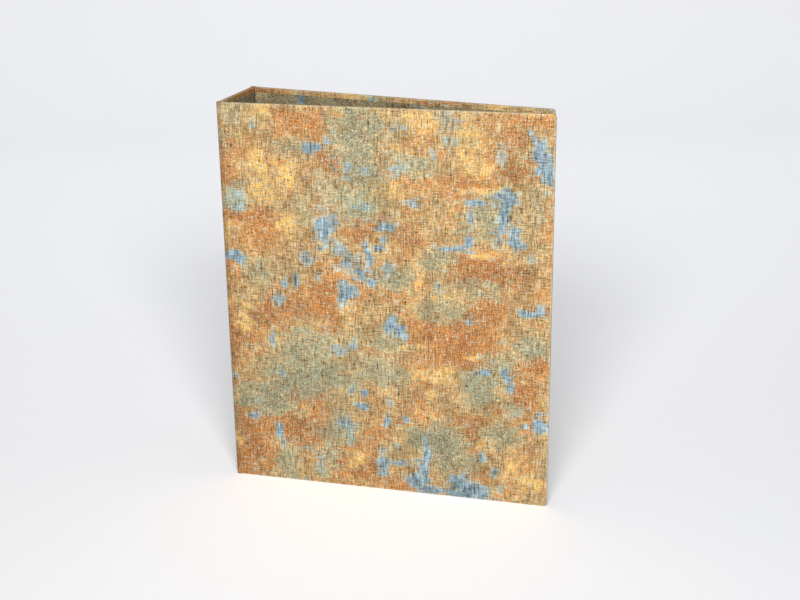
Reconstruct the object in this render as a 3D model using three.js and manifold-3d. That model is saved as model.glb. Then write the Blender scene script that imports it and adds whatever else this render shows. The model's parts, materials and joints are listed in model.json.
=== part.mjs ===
// A4 ring binder with cloth-covered boards and a four-ring mechanism, in millimetres, +Z towards the head.
// It stands on its tail edge. The back cover is square to the axes, the spine and the front cover lean in.
import * as THREE from 'three';
import { mergeVertices } from 'three/addons/utils/BufferGeometryUtils.js';
import Module from 'manifold-3d';

const wasm = await Module();
wasm.setup();

// Case
const caseHeight = 320; // tail to head
const coverWidth = 267; // outer corner of the spine to the fore edge
const spineWidth = 75; // between the two outer corners
const frontAngle = 88.5; // degrees inside the front joint, with the binder empty
const backAngle = 80; // degrees inside the back joint, with the binder empty
const pressedAngle = 78; // degrees, the least that either joint closes to
const boardThickness = 2.4;
const clothThickness = 0.4;
const liningThickness = 0.3;
const glueLine = 0.05; // between layers that are stuck together
const jointClearance = 0.15; // between cloth and cloth along the corner, and at the mitre
const turnIn = 15; // cloth folded over the inside of a board
const liningInset = 4; // bare turn-in left around the lining
const edgeRadius = 0.7; // cloth over the edge of a board
const cornerRadius = 2.5; // fore-edge corners of a cover

// Ring mechanism, placed from the back cover
const ringCount = 4;
const ringFromEnd = 18; // middle of an outer ring to the end of the housing
const wireDiameter = 3.8;
const housingFromCorner = 40; // outer corner of the spine to the middle of the housing
const housingLength = 276;
const housingWidth = 29;
const housingHeight = 9;
const housingShoulder = 4.6; // height of the straight sides
const sheetMetal = 1;
const rimWidth = 3;
const slotFloor = 3; // lowest cut of a ring's slot
const slotStart = 4; // from the middle of the housing
const slotClearance = 0.6; // each side of the wire
const railThickness = 1.2;
const railTilt = 7; // degrees, closed; the rails snap over to the same tilt the other way
const railEdgeHeight = 4;
const railWallGap = 0.4;
const railMiddleGap = 0.8; // between the inner edges of the two rails
const ringReach = 39; // middle of the wire, from one side of the ring to the other
const ringBulge = 2; // the curved half's round is this much wider
const curveStart = 229; // degrees round, where the curved half leaves its rail's lead
const ringHeight = 44; // middle of the wire above the lining
const ringBend = 5; // corners of the straight half
const tipOffset = 9.5; // tips meet this far from the middle, on the straight side
const seatClearance = 0.3; // a wire on its rail, a pin in its hole, tip to tip
const pegRadius = 1.2;
const pegAlongRail = 6.5; // from the rail's outer edge
const footAlongRail = 3.4; // where the wire lifts off its rail
const footRise = 0.4; // the straight half's first bend starts this much higher
const rivetPitch = 160;
const rivetShank = 2;
const rivetShoulder = 3;
const rivetInnerHead = 3.6;
const rivetOuterHead = 5;
const rivetHeadHeight = 1.2;
const railNotchRoom = 1; // between a rivet's shoulder and the rails
const leverPinRadius = 1.2;
const leverPinHeight = 5;
const leverPinFromEnd = 5;
const leverHubRadius = 2.9;
const leverWidth = 13;
const leverThickness = 1.8;
const leverRise = 14.5; // thumb pad above the pin
const leverReach = 9; // thumb pad beyond the pin
const leverPadRadius = 1.35;
const leverBow = 0.75; // shares of reach and rise that shape its curve
const leverWaist = 0.45;
const leverSideGap = 1.5; // between the lever and the crown of the housing
const forkReach = 5.2; // pin to the tips of the fork that holds the rails' ends
const forkWidth = 4;
const forkRoomAbove = 0.5; // over the ends of the closed rails
const forkRoomBelow = 0.4;
const forkFinger = 1;
const railEndFromPin = 4.7;

// Derived levels through a covered board, measured inwards from its outer face
const boardOuter = clothThickness + glueLine;
const boardInner = boardOuter + boardThickness;
const turnInOuter = boardInner + glueLine;
const turnInInner = turnInOuter + clothThickness;
const liningOuter = turnInInner + glueLine;
const liningInner = liningOuter + liningThickness;
const mitre = Math.tan(THREE.MathUtils.degToRad(pressedAngle / 2));
const mitreAt = (depth) => depth / mitre + jointClearance; // nearest a layer comes to the corner
const boardSetback = mitreAt(liningInner) + liningThickness + glueLine; // corner to the board's edge

// Derived places in the mechanism
const wireRadius = wireDiameter / 2;
const ringPitch = (housingLength - 2 * ringFromEnd) / (ringCount - 1); // 80, as the holes of A4 sheets
const ringPlaces = Array.from({ length: ringCount }, (_, i) => (i - (ringCount - 1) / 2) * ringPitch);
const rivetPlaces = [-rivetPitch / 2, rivetPitch / 2];
const railEdgeX = housingWidth / 2 - sheetMetal - railWallGap;
const railWidth = railEdgeX - railMiddleGap / 2;
const leverPinPlace = housingLength / 2 - leverPinFromEnd;
const railLength = 2 * (leverPinPlace - railEndFromPin);
const railTurn = THREE.MathUtils.degToRad(-railTilt);
const wireAboveRail = railThickness / 2 + seatClearance + wireRadius;

// Facets
const edgeSteps = 3;
const cornerSteps = 3;
const holeSides = 20;
const hubSides = 24;
const pegSides = 16;
const wireSides = 12;
const ringSteps = 13;
const bendSteps = 5;
const leverSteps = 12;
const crownSteps = 8;
const headSteps = 4;

// Materials
const printedCloth = new THREE.MeshStandardMaterial({ color: 0xb07a44, roughness: 0.78, metalness: 0 });
const printedLining = new THREE.MeshStandardMaterial({ color: 0xa5764a, roughness: 0.82, metalness: 0 });
const greyboard = new THREE.MeshStandardMaterial({ color: 0x8d8678, roughness: 0.9, metalness: 0 });
const nickelSteel = new THREE.MeshStandardMaterial({ color: 0xc4c6c8, roughness: 0.24, metalness: 1 });

// Closed geometry to a solid and back
function solid(geometry) {
  const bare = geometry.clone();
  bare.deleteAttribute('normal');
  bare.deleteAttribute('uv');
  const merged = mergeVertices(bare, 1e-4);
  return new wasm.Manifold(
    new wasm.Mesh({
      numProp: 3,
      vertProperties: merged.attributes.position.array,
      triVerts: new Uint32Array(merged.index.array),
    }),
  );
}

function surface(body) {
  const made = body.getMesh();
  const geometry = new THREE.BufferGeometry();
  geometry.setAttribute('position', new THREE.BufferAttribute(made.vertProperties, 3));
  geometry.setIndex(new THREE.BufferAttribute(made.triVerts, 1));
  const flat = geometry.toNonIndexed();
  flat.computeVertexNormals();
  return flat;
}

function mesh(name, body, material) {
  const made = new THREE.Mesh(surface(body), material);
  made.name = name;
  return made;
}

// A box from its lowest corner to its highest
function block([x0, y0, z0], [x1, y1, z1]) {
  const box = new THREE.BoxGeometry(x1 - x0, y1 - y0, z1 - z0);
  return solid(box.translate((x0 + x1) / 2, (y0 + y1) / 2, (z0 + z1) / 2));
}

// An outline in the XY plane, extruded from z0 to z1
function prism(outline, z0, z1, curveSegments = crownSteps) {
  const points = outline instanceof THREE.Shape ? null : outline.map((p) => new THREE.Vector2(...p));
  const shape = points ? new THREE.Shape(points) : outline;
  const made = new THREE.ExtrudeGeometry(shape, { depth: z1 - z0, bevelEnabled: false, curveSegments });
  return solid(made.translate(0, 0, z0));
}

// Cylinders along Y from y0 to y1, and along X or Z about the origin
function post(radius, y0, y1, x = 0, z = 0, sides = holeSides) {
  const made = new THREE.CylinderGeometry(radius, radius, y1 - y0, sides);
  return solid(made.translate(x, (y0 + y1) / 2, z));
}

function axle(radius, length, axis, sides = holeSides) {
  const made = new THREE.CylinderGeometry(radius, radius, length, sides);
  return solid(axis === 'x' ? made.rotateZ(Math.PI / 2) : made.rotateX(Math.PI / 2));
}

// A flat sheet in the XZ plane from y0 to y1, with rounded corners on its +X side and rounded edges
function sheet([x0, z0], [x1, z1], y0, y1, corner = 0, edge = 0) {
  const [left, right, low, high] = [x0 + edge, x1 - edge, z0 + edge, z1 - edge];
  const r = corner - edge;
  const shape = new THREE.Shape();
  shape.moveTo(left, low);
  if (r > 0) {
    shape.lineTo(right - r, low);
    shape.absarc(right - r, low + r, r, -Math.PI / 2, 0);
    shape.lineTo(right, high - r);
    shape.absarc(right - r, high - r, r, 0, Math.PI / 2);
  } else {
    shape.lineTo(right, low);
    shape.lineTo(right, high);
  }
  shape.lineTo(left, high);
  const made = new THREE.ExtrudeGeometry(shape, {
    depth: y1 - y0 - 2 * edge,
    bevelEnabled: edge > 0,
    bevelThickness: edge,
    bevelSize: edge,
    bevelSegments: edgeSteps,
    curveSegments: cornerSteps,
  });
  return solid(made.rotateX(Math.PI / 2).translate(0, y1 - edge, 0));
}

// Covered panels. Each is drawn flat: X from its outer corner, Y inwards from its outer face, Z up.
// A cover has one joint, at X = 0; the spine has a joint on both sides.
const runOut = 1; // how far a cut runs past the face that it opens

function clothPanel(width, joints) {
  const isSpine = joints === 2;
  const left = boardSetback;
  const right = isSpine ? width - boardSetback : width;
  const corner = isSpine ? 0 : cornerRadius;
  const open = left - runOut;
  const far = isSpine ? right + runOut : width - clothThickness;
  const windowFar = isSpine ? right + runOut : width - turnIn;
  const pocket = sheet(
    [open, clothThickness],
    [far, caseHeight - clothThickness],
    clothThickness,
    turnInOuter,
    isSpine ? 0 : corner - clothThickness,
  );
  const windowCut = block(
    [open, turnInOuter - glueLine, turnIn],
    [windowFar, turnInInner + runOut, caseHeight - turnIn],
  );
  // The skin runs on past the board, bevelled so that the two sides of a corner can close on each other
  const skin = [
    [jointClearance, 0],
    [left + turnIn, 0],
    [left + turnIn, clothThickness],
    [mitreAt(clothThickness), clothThickness],
  ];
  const farSkin = skin.map(([x, y]) => [width - x, y]).reverse();
  let body = sheet([left, 0], [right, caseHeight], 0, turnInInner, corner, edgeRadius);
  body = body.subtract(pocket).subtract(windowCut).add(prism(skin, 0, caseHeight));
  if (isSpine) body = body.add(prism(farSkin, 0, caseHeight));
  return body;
}

function boardPanel(width, joints) {
  const isSpine = joints === 2;
  const right = isSpine ? width - boardSetback : width - boardOuter;
  const corner = isSpine ? 0 : cornerRadius - boardOuter;
  return sheet([boardSetback, boardOuter], [right, caseHeight - boardOuter], boardOuter, boardInner, corner);
}

// The lining lies on the turn-ins and goes down over the board's edge into the joint
function liningPanel(width, joints) {
  const foot = boardOuter; // glued face on the skin of the joint
  const stepIn = boardSetback - glueLine;
  const nearSide = [
    [mitreAt(foot + liningThickness), foot + liningThickness],
    [mitreAt(foot), foot],
    [stepIn, foot],
    [stepIn, liningOuter],
  ];
  const nearReturn = [
    [stepIn - liningThickness, liningInner],
    [stepIn - liningThickness, foot + liningThickness],
  ];
  const mirrored = (points) => points.map(([x, y]) => [width - x, y]).reverse();
  const far = [
    [width - liningInset, liningOuter],
    [width - liningInset, liningInner],
  ];
  const outline =
    joints === 2
      ? [...nearSide, ...mirrored(nearSide), ...mirrored(nearReturn), ...nearReturn]
      : [...nearSide, ...far, ...nearReturn];
  return prism(outline, liningInset, caseHeight - liningInset);
}

const rivetHole = (y0, y1, x, z) => post(rivetShank + seatClearance, y0, y1, x, z);

function drilled(panel) {
  const drill = (z) => rivetHole(-runOut, liningInner + runOut, housingFromCorner, caseHeight / 2 + z);
  return rivetPlaces.reduce((left, z) => left.subtract(drill(z)), panel);
}

// Mechanism. Drawn on the lining: X across, Y away from the cover, Z along, with its middle at the origin.
function housing() {
  const half = housingWidth / 2;
  const inside = half - sheetMetal;
  const rimTop = glueLine + sheetMetal;
  const above = housingHeight + runOut;
  const hollowRise = housingHeight - housingShoulder - sheetMetal;
  const outline = new THREE.Shape();
  outline.moveTo(-half, glueLine);
  outline.lineTo(-half + rimWidth, glueLine);
  outline.lineTo(-half + rimWidth, rimTop);
  outline.lineTo(-inside, rimTop);
  outline.lineTo(-inside, housingShoulder);
  outline.absellipse(0, housingShoulder, inside, hollowRise, Math.PI, 0, true);
  outline.lineTo(inside, rimTop);
  outline.lineTo(half - rimWidth, rimTop);
  outline.lineTo(half - rimWidth, glueLine);
  outline.lineTo(half, glueLine);
  outline.lineTo(half, housingShoulder);
  outline.absellipse(0, housingShoulder, half, housingHeight - housingShoulder, 0, Math.PI, false);
  let body = prism(outline, -housingLength / 2, housingLength / 2);
  const slotHalf = wireRadius + slotClearance;
  for (const z of ringPlaces) {
    const rightSlot = block([slotStart, slotFloor, z - slotHalf], [half + runOut, above, z + slotHalf]);
    const leftSlot = block([-half - runOut, slotFloor, z - slotHalf], [-slotStart, above, z + slotHalf]);
    body = body.subtract(rightSlot).subtract(leftSlot);
  }
  for (const z of rivetPlaces) {
    body = body.subtract(rivetHole(housingHeight / 2, above, 0, z));
  }
  // The crown is open at both ends for the levers, and the sides carry their pins
  const mouth = leverWidth / 2 + leverSideGap;
  const mouthStart = leverPinPlace - leverHubRadius - leverSideGap;
  const mouthEnd = housingLength / 2 + runOut;
  const mouthCut = block([-mouth, housingShoulder, mouthStart], [mouth, above, mouthEnd]);
  const pinHole = axle(leverPinRadius + seatClearance, housingWidth + 2 * runOut, 'x');
  body = body.subtract(mouthCut).subtract(mouthCut.mirror([0, 0, 1]));
  for (const end of [-1, 1]) {
    body = body.subtract(pinHole.translate([0, leverPinHeight, end * leverPinPlace]));
  }
  return body;
}

// A rail, drawn from its outer edge at the origin, inwards along +X
function rail() {
  const t = railThickness / 2;
  const through = t + runOut;
  const around = rivetShoulder + railNotchRoom;
  const notchStart = railEdgeX - around;
  let body = block([0, -t, -railLength / 2], [railWidth, t, railLength / 2]);
  for (const z of rivetPlaces) {
    const low = [notchStart, -through, z - around];
    const high = [railWidth + runOut, through, z + around];
    body = body.subtract(block(low, high));
  }
  for (const z of ringPlaces) {
    const pegHole = post(pegRadius + seatClearance, -through, through, pegAlongRail, z, pegSides);
    body = body.subtract(pegHole);
  }
  return body;
}

// A point along and above a closed rail, on the side where X is negative
function onRail(along, above) {
  const p = new THREE.Vector2(along, above).rotateAround(new THREE.Vector2(), railTurn);
  return p.add(new THREE.Vector2(-railEdgeX, railEdgeHeight));
}

// Round wire through points in the XY plane
function wire(points, sides = wireSides) {
  const positions = [];
  const triangles = [];
  points.forEach((p, i) => {
    const before = points[Math.max(i - 1, 0)];
    const after = points[Math.min(i + 1, points.length - 1)];
    const along = after.clone().sub(before).normalize();
    for (let k = 0; k < sides; k += 1) {
      const a = (2 * Math.PI * (k + 0.5)) / sides;
      const out = wireRadius * Math.cos(a);
      positions.push(p.x - along.y * out, p.y + along.x * out, wireRadius * Math.sin(a));
    }
  });
  const last = (points.length - 1) * sides;
  for (let k = 0; k < sides; k += 1) {
    const next = (k + 1) % sides;
    for (let row = 0; row < last; row += sides) {
      triangles.push(row + k, row + next, row + sides + k);
      triangles.push(row + next, row + sides + next, row + sides + k);
    }
    if (k > 0 && next > 0) {
      triangles.push(0, next, k);
      triangles.push(last, last + k, last + next);
    }
  }
  const geometry = new THREE.BufferGeometry();
  geometry.setAttribute('position', new THREE.Float32BufferAttribute(positions, 3));
  geometry.setIndex(triangles);
  return solid(geometry);
}

// Half a ring: the wire, with a peg down through its rail
function ringHalf(points) {
  const bottom = -railThickness / 2;
  const peg = new THREE.CylinderGeometry(pegRadius, pegRadius, wireAboveRail - bottom, pegSides);
  peg.translate(pegAlongRail, (wireAboveRail + bottom) / 2, 0).rotateZ(railTurn);
  peg.translate(-railEdgeX, railEdgeHeight, 0);
  return wire(points).add(solid(peg));
}

const arc = (x, y, radius, from, to, divisions) =>
  new THREE.EllipseCurve(x, y, radius, radius, from, to, to < from).getPoints(divisions);

const footEnd = onRail(pegAlongRail + pegRadius, wireAboveRail);
const footStart = onRail(footAlongRail, wireAboveRail);

// The side nearest the spine: from the rail round the outside of the ring to the tips
function curvedHalf() {
  const radius = (ringReach + ringBulge) / 2;
  const centre = new THREE.Vector2(radius - ringReach / 2, ringHeight - radius);
  const join = THREE.MathUtils.degToRad(curveStart);
  const sweep = arc(centre.x, centre.y, radius, join, Math.PI / 2, ringSteps);
  const heading = new THREE.Vector2(Math.sin(join), -Math.cos(join));
  const outwards = footStart.clone().sub(footEnd).normalize();
  const ease = footStart.distanceTo(sweep[0]) / 3;
  const lead = new THREE.CubicBezierCurve(
    footStart,
    footStart.clone().addScaledVector(outwards, ease),
    sweep[0].clone().addScaledVector(heading, -ease),
    sweep[0],
  );
  const tip = new THREE.Vector2(tipOffset - seatClearance / 2, ringHeight);
  return ringHalf([footEnd, ...lead.getPoints(bendSteps), ...sweep.slice(1), tip]);
}

// The side nearest the fore edge: up a straight post and over to the tips
function straightHalf() {
  const postX = -ringReach / 2;
  const middleX = postX + ringBend;
  const floor = footStart.y + footRise;
  const lower = arc(middleX, floor + ringBend, ringBend, 1.5 * Math.PI, Math.PI, bendSteps);
  const upper = arc(middleX, ringHeight - ringBend, ringBend, Math.PI, Math.PI / 2, bendSteps);
  const tip = new THREE.Vector2(-tipOffset - seatClearance / 2, ringHeight);
  return ringHalf([footEnd, footStart, ...lower, ...upper, tip]);
}

// A strip of even thickness along a curve, as an outline
function strip(curve, thickness, divisions) {
  const edge = (side) =>
    curve.getSpacedPoints(divisions).map((p, i) => {
      const along = curve.getTangentAt(i / divisions);
      return [p.x - (side * along.y * thickness) / 2, p.y + (side * along.x * thickness) / 2];
    });
  return [...edge(-1), ...edge(1).reverse()];
}

// A lever, drawn about its pin: X away from the middle of the housing, Y away from the cover, Z across
function lever() {
  const curve = new THREE.CubicBezierCurve(
    new THREE.Vector2(0, 0),
    new THREE.Vector2(leverBow * leverReach, 0),
    new THREE.Vector2(leverWaist * leverReach, leverBow * leverRise),
    new THREE.Vector2(leverReach, leverRise),
  );
  const half = leverWidth / 2;
  const forkHalf = forkWidth / 2;
  const railLow = railEdgeHeight - railWidth * Math.sin(-railTurn) - leverPinHeight;
  const lowerTop = railLow - railThickness / 2 - forkRoomBelow;
  const upperBottom = railLow + railThickness / 2 + forkRoomAbove + forkHalf * Math.sin(-railTurn);
  const lowerBottom = lowerTop - forkFinger;
  const web = leverHubRadius / 2;
  return axle(leverHubRadius, leverWidth, 'z', hubSides)
    .add(prism(strip(curve, leverThickness, leverSteps), -half, half))
    .add(axle(leverPadRadius, leverWidth, 'z', pegSides).translate([leverReach, leverRise, 0]))
    .add(block([-forkReach, upperBottom, -forkHalf], [0, upperBottom + forkFinger, forkHalf]))
    .add(block([-forkReach, lowerBottom, -forkHalf], [web, lowerTop, forkHalf]))
    .add(block([-web, lowerBottom, -forkHalf], [web, 0, forkHalf]))
    .subtract(axle(leverPinRadius + seatClearance, leverWidth + 2 * runOut, 'z'));
}

// A domed head from its rim to its crown, which stands above or below its base
function dome(radius, base, rise) {
  return Array.from({ length: headSteps + 1 }, (_, i) => {
    const a = (i / headSteps) * (Math.PI / 2);
    return [radius * Math.cos(a), base + rise * Math.sin(a)];
  });
}

// A rivet through the cover and the crown of the housing, turned as one piece
function rivet() {
  const inner = housingHeight + glueLine;
  const shoulderTop = housingHeight - sheetMetal - seatClearance;
  const outer = -liningInner - glueLine;
  const profile = [
    ...dome(rivetOuterHead, outer, -rivetHeadHeight).reverse(),
    [rivetShank, outer],
    [rivetShank, glueLine],
    [rivetShoulder, glueLine],
    [rivetShoulder, shoulderTop],
    [rivetShank, shoulderTop],
    [rivetShank, inner],
    ...dome(rivetInnerHead, inner, rivetHeadHeight),
  ];
  const points = profile.map((p) => new THREE.Vector2(...p));
  return solid(new THREE.LatheGeometry(points, holeSides));
}

// Assembly
const binder = new THREE.Group();

const backCover = new THREE.Group();
backCover.rotation.x = Math.PI;
backCover.position.z = caseHeight;
backCover.add(
  mesh('back_cover_cloth', drilled(clothPanel(coverWidth, 1)), printedCloth),
  mesh('back_board', drilled(boardPanel(coverWidth, 1)), greyboard),
  mesh('back_lining', drilled(liningPanel(coverWidth, 1)), printedLining),
);

const spine = new THREE.Group();
spine.rotation.z = THREE.MathUtils.degToRad(-backAngle);
spine.add(
  mesh('spine_cloth', clothPanel(spineWidth, 2), printedCloth),
  mesh('spine_board', boardPanel(spineWidth, 2), greyboard),
  mesh('spine_lining', liningPanel(spineWidth, 2), printedLining),
);

const frontCover = new THREE.Group();
frontCover.position.x = spineWidth;
frontCover.rotation.z = THREE.MathUtils.degToRad(180 - frontAngle);
frontCover.add(
  mesh('front_cover_cloth', clothPanel(coverWidth, 1), printedCloth),
  mesh('front_board', boardPanel(coverWidth, 1), greyboard),
  mesh('front_lining', liningPanel(coverWidth, 1), printedLining),
);
spine.add(frontCover);

const mechanism = new THREE.Group();
mechanism.position.set(housingFromCorner, liningInner, caseHeight / 2);
mechanism.add(mesh('ring_housing', housing(), nickelSteel));

// Both sides are drawn towards -X and the fore-edge side is turned half round
const sides = [
  { plate: 'spine_side_rail', half: 'curved_ring_half', drawn: curvedHalf(), turned: false },
  { plate: 'fore_edge_side_rail', half: 'straight_ring_half', drawn: straightHalf(), turned: true },
];
for (const { plate, half, drawn, turned } of sides) {
  const side = new THREE.Group();
  side.rotation.y = turned ? Math.PI : 0;
  const railMesh = mesh(plate, rail(), nickelSteel);
  railMesh.position.set(-railEdgeX, railEdgeHeight, 0);
  railMesh.rotation.z = railTurn;
  side.add(railMesh);
  ringPlaces.forEach((z, i) => {
    const ring = mesh(`${half}_${i + 1}`, drawn, nickelSteel);
    ring.position.z = turned ? -z : z;
    side.add(ring);
  });
  mechanism.add(side);
}

// The head of the binder is towards -Z here
for (const [name, z] of [['upper_rivet', rivetPlaces[0]], ['lower_rivet', rivetPlaces[1]]]) {
  const fastener = mesh(name, rivet(), nickelSteel);
  fastener.position.z = z;
  mechanism.add(fastener);
}
for (const [end, direction] of [['top', -1], ['bottom', 1]]) {
  const handle = mesh(`${end}_lever`, lever(), nickelSteel);
  const pin = mesh(`${end}_lever_pin`, axle(leverPinRadius, housingWidth, 'x'), nickelSteel);
  handle.rotation.y = (-direction * Math.PI) / 2;
  for (const piece of [handle, pin]) {
    piece.position.set(0, leverPinHeight, direction * leverPinPlace);
    mechanism.add(piece);
  }
}
backCover.add(mechanism);
binder.add(backCover, spine);

// The origin is under the middle of the standing binder
const middle = new THREE.Box3().setFromObject(binder, true).getCenter(new THREE.Vector3());
for (const piece of [backCover, spine]) {
  piece.position.x -= middle.x;
  piece.position.y -= middle.y;
}

export default binder;
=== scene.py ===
import json
import math

import bmesh
import bpy
import numpy as np
from mathutils import Matrix, Vector


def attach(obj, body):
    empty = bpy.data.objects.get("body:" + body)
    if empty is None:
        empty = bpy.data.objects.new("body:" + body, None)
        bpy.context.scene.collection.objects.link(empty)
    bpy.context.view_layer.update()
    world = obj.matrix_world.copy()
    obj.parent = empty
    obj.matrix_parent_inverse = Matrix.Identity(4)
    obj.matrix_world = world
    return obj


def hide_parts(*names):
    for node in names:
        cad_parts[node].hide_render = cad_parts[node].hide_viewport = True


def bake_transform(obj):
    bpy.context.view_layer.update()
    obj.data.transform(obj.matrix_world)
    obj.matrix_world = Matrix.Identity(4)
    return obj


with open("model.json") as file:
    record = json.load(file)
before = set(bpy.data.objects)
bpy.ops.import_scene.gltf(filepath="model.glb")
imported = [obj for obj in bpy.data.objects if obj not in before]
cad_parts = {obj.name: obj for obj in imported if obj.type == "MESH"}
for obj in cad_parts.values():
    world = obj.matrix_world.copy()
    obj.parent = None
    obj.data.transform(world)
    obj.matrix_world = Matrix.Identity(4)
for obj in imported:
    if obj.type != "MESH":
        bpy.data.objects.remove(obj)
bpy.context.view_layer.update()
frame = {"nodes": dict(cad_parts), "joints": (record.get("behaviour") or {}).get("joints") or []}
print("frame loaded")

mm = 0.001  # pieces are worked out in millimetres and written in metres


# Node helpers, used by every material

def setInput(tree, socket, value):
    if isinstance(value, bpy.types.NodeSocket):
        tree.links.new(value, socket)
    elif value is not None:
        socket.default_value = value


def addMath(tree, operation, a, b=None, c=None, clamp=False):
    node = tree.nodes.new("ShaderNodeMath")
    node.operation = operation
    node.use_clamp = clamp
    for socket, value in zip(node.inputs, (a, b, c)):
        setInput(tree, socket, value)
    return node.outputs[0]


def addVectorMath(tree, operation, a, b=None):
    node = tree.nodes.new("ShaderNodeVectorMath")
    node.operation = operation
    setInput(tree, node.inputs[0], a)
    setInput(tree, node.inputs[1], b)
    return node.outputs[0]


# Noise whose grain is given in millimetres across and along the sheet
def addNoise(tree, place, size, detail=2.0, rough=0.5, shift=(0, 0, 0), distortion=0.0):
    moved = addVectorMath(tree, "ADD", place, shift)
    scaled = addVectorMath(tree, "MULTIPLY", moved, (1 / size[0], 1 / size[1], 1 / size[0]))
    node = tree.nodes.new("ShaderNodeTexNoise")
    setInput(tree, node.inputs["Vector"], scaled)
    node.inputs["Scale"].default_value = 1.0
    node.inputs["Detail"].default_value = detail
    node.inputs["Roughness"].default_value = rough
    node.inputs["Distortion"].default_value = distortion
    return node.outputs["Fac"]


# A soft step: 0 below low, 1 above high, or the other way round if low is above high
def addStep(tree, value, low, high):
    node = tree.nodes.new("ShaderNodeMapRange")
    node.interpolation_type = "SMOOTHSTEP"
    flip = low > high
    setInput(tree, node.inputs["Value"], value)
    node.inputs["From Min"].default_value = min(low, high)
    node.inputs["From Max"].default_value = max(low, high)
    node.inputs["To Min"].default_value = 1.0 if flip else 0.0
    node.inputs["To Max"].default_value = 0.0 if flip else 1.0
    return node.outputs["Result"]


def addMix(tree, factor, a, b, blend="MIX"):
    node = tree.nodes.new("ShaderNodeMix")
    node.data_type = "RGBA"
    node.blend_type = blend
    setInput(tree, node.inputs[0], factor)
    setInput(tree, node.inputs[6], a)
    setInput(tree, node.inputs[7], b)
    return node.outputs[2]


# A new node group with named sockets: {name: (kind, start value)} in, {name: kind} out
def startGroup(name, inputs, outputs):
    group = bpy.data.node_groups.new(name, "ShaderNodeTree")
    kinds = {"value": "NodeSocketFloat", "vector": "NodeSocketVector", "colour": "NodeSocketColor"}
    for key, (kind, start) in inputs.items():
        socket = group.interface.new_socket(key, in_out="INPUT", socket_type=kinds[kind])
        socket.default_value = start
    for key, kind in outputs.items():
        group.interface.new_socket(key, in_out="OUTPUT", socket_type=kinds[kind])
    source = group.nodes.new("NodeGroupInput").outputs
    target = group.nodes.new("NodeGroupOutput").inputs
    return group, source, target


def placeGroup(tree, group, **values):
    node = tree.nodes.new("ShaderNodeGroup")
    node.node_tree = group
    for key, value in values.items():
        setInput(tree, node.inputs[key], value)
    return node.outputs


def startMaterial(name):
    material = bpy.data.materials.new(name)
    material.use_nodes = True
    return material, material.node_tree, material.node_tree.nodes["Principled BSDF"]


# sRGB 0-255 to the linear colour that a socket takes
def paint(red, green, blue):
    def linear(v):
        v /= 255
        return v / 12.92 if v <= 0.04045 else ((v + 0.055) / 1.055) ** 2.4
    return (linear(red), linear(green), linear(blue), 1.0)


# Bookcloth: threads along the height stand out more than those across it
weaveLook = {
    "pitchAcross": 1.12,  # mm between the upright threads
    "pitchAlong": 0.98,
    "wander": 0.35,
    "acrossShare": 0.55,  # how strongly the level threads show
}


def makeWeaveGroup():
    group, source, target = startGroup(
        "linenWeave",
        {"Place": ("vector", (0, 0, 0))},
        {"Height": "value", "Tone": "value", "Slub": "value"},
    )
    tree = group
    place = source["Place"]
    wobble = addNoise(tree, place, (11, 40), 2.0)
    split = tree.nodes.new("ShaderNodeSeparateXYZ")
    setInput(tree, split.inputs[0], place)
    across = addMath(tree, "MULTIPLY_ADD", wobble, weaveLook["wander"] * 4, split.outputs["X"])
    along = addMath(tree, "MULTIPLY_ADD", wobble, weaveLook["wander"] * 2, split.outputs["Y"])
    phaseUp = addMath(tree, "DIVIDE", across, weaveLook["pitchAcross"])
    phaseLevel = addMath(tree, "DIVIDE", along, weaveLook["pitchAlong"])
    ridges = []
    for phase in (phaseUp, phaseLevel):
        part = addMath(tree, "FRACT", phase)
        part = addMath(tree, "SUBTRACT", part, 0.5)
        part = addMath(tree, "MULTIPLY", part, part)
        ridges.append(addMath(tree, "MULTIPLY_ADD", part, -4.0, 1.0))
    over = addMath(tree, "ADD", addMath(tree, "FLOOR", phaseUp), addMath(tree, "FLOOR", phaseLevel))
    over = addMath(tree, "PINGPONG", over, 1.0)
    upright = addMath(tree, "MULTIPLY", ridges[0], addMath(tree, "MULTIPLY_ADD", over, 0.35, 0.65))
    level = addMath(tree, "MULTIPLY", ridges[1], addMath(tree, "MULTIPLY_ADD", over, -0.4, 0.85))
    level = addMath(tree, "MULTIPLY", level, weaveLook["acrossShare"])
    height = addMath(tree, "MAXIMUM", upright, level)
    # Each thread takes the print a little differently along its length
    uprightTone = addNoise(tree, place, (1.15, 10), 2.0, 0.6, (31, 7, 0))
    levelTone = addNoise(tree, place, (8.0, 1.0), 2.0, 0.6, (5, 63, 0))
    tone = addMath(tree, "MULTIPLY_ADD", levelTone, 0.8, uprightTone)
    tone = addMath(tree, "SUBTRACT", tone, 0.9)
    slub = addNoise(tree, place, (16.0, 0.75), 1.0, 0.5, (83, 11, 0))
    setInput(tree, target["Height"], height)
    setInput(tree, target["Tone"], tone)
    setInput(tree, target["Slub"], addStep(tree, slub, 0.7, 0.78))
    return group


weaveGroup = makeWeaveGroup()


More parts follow.
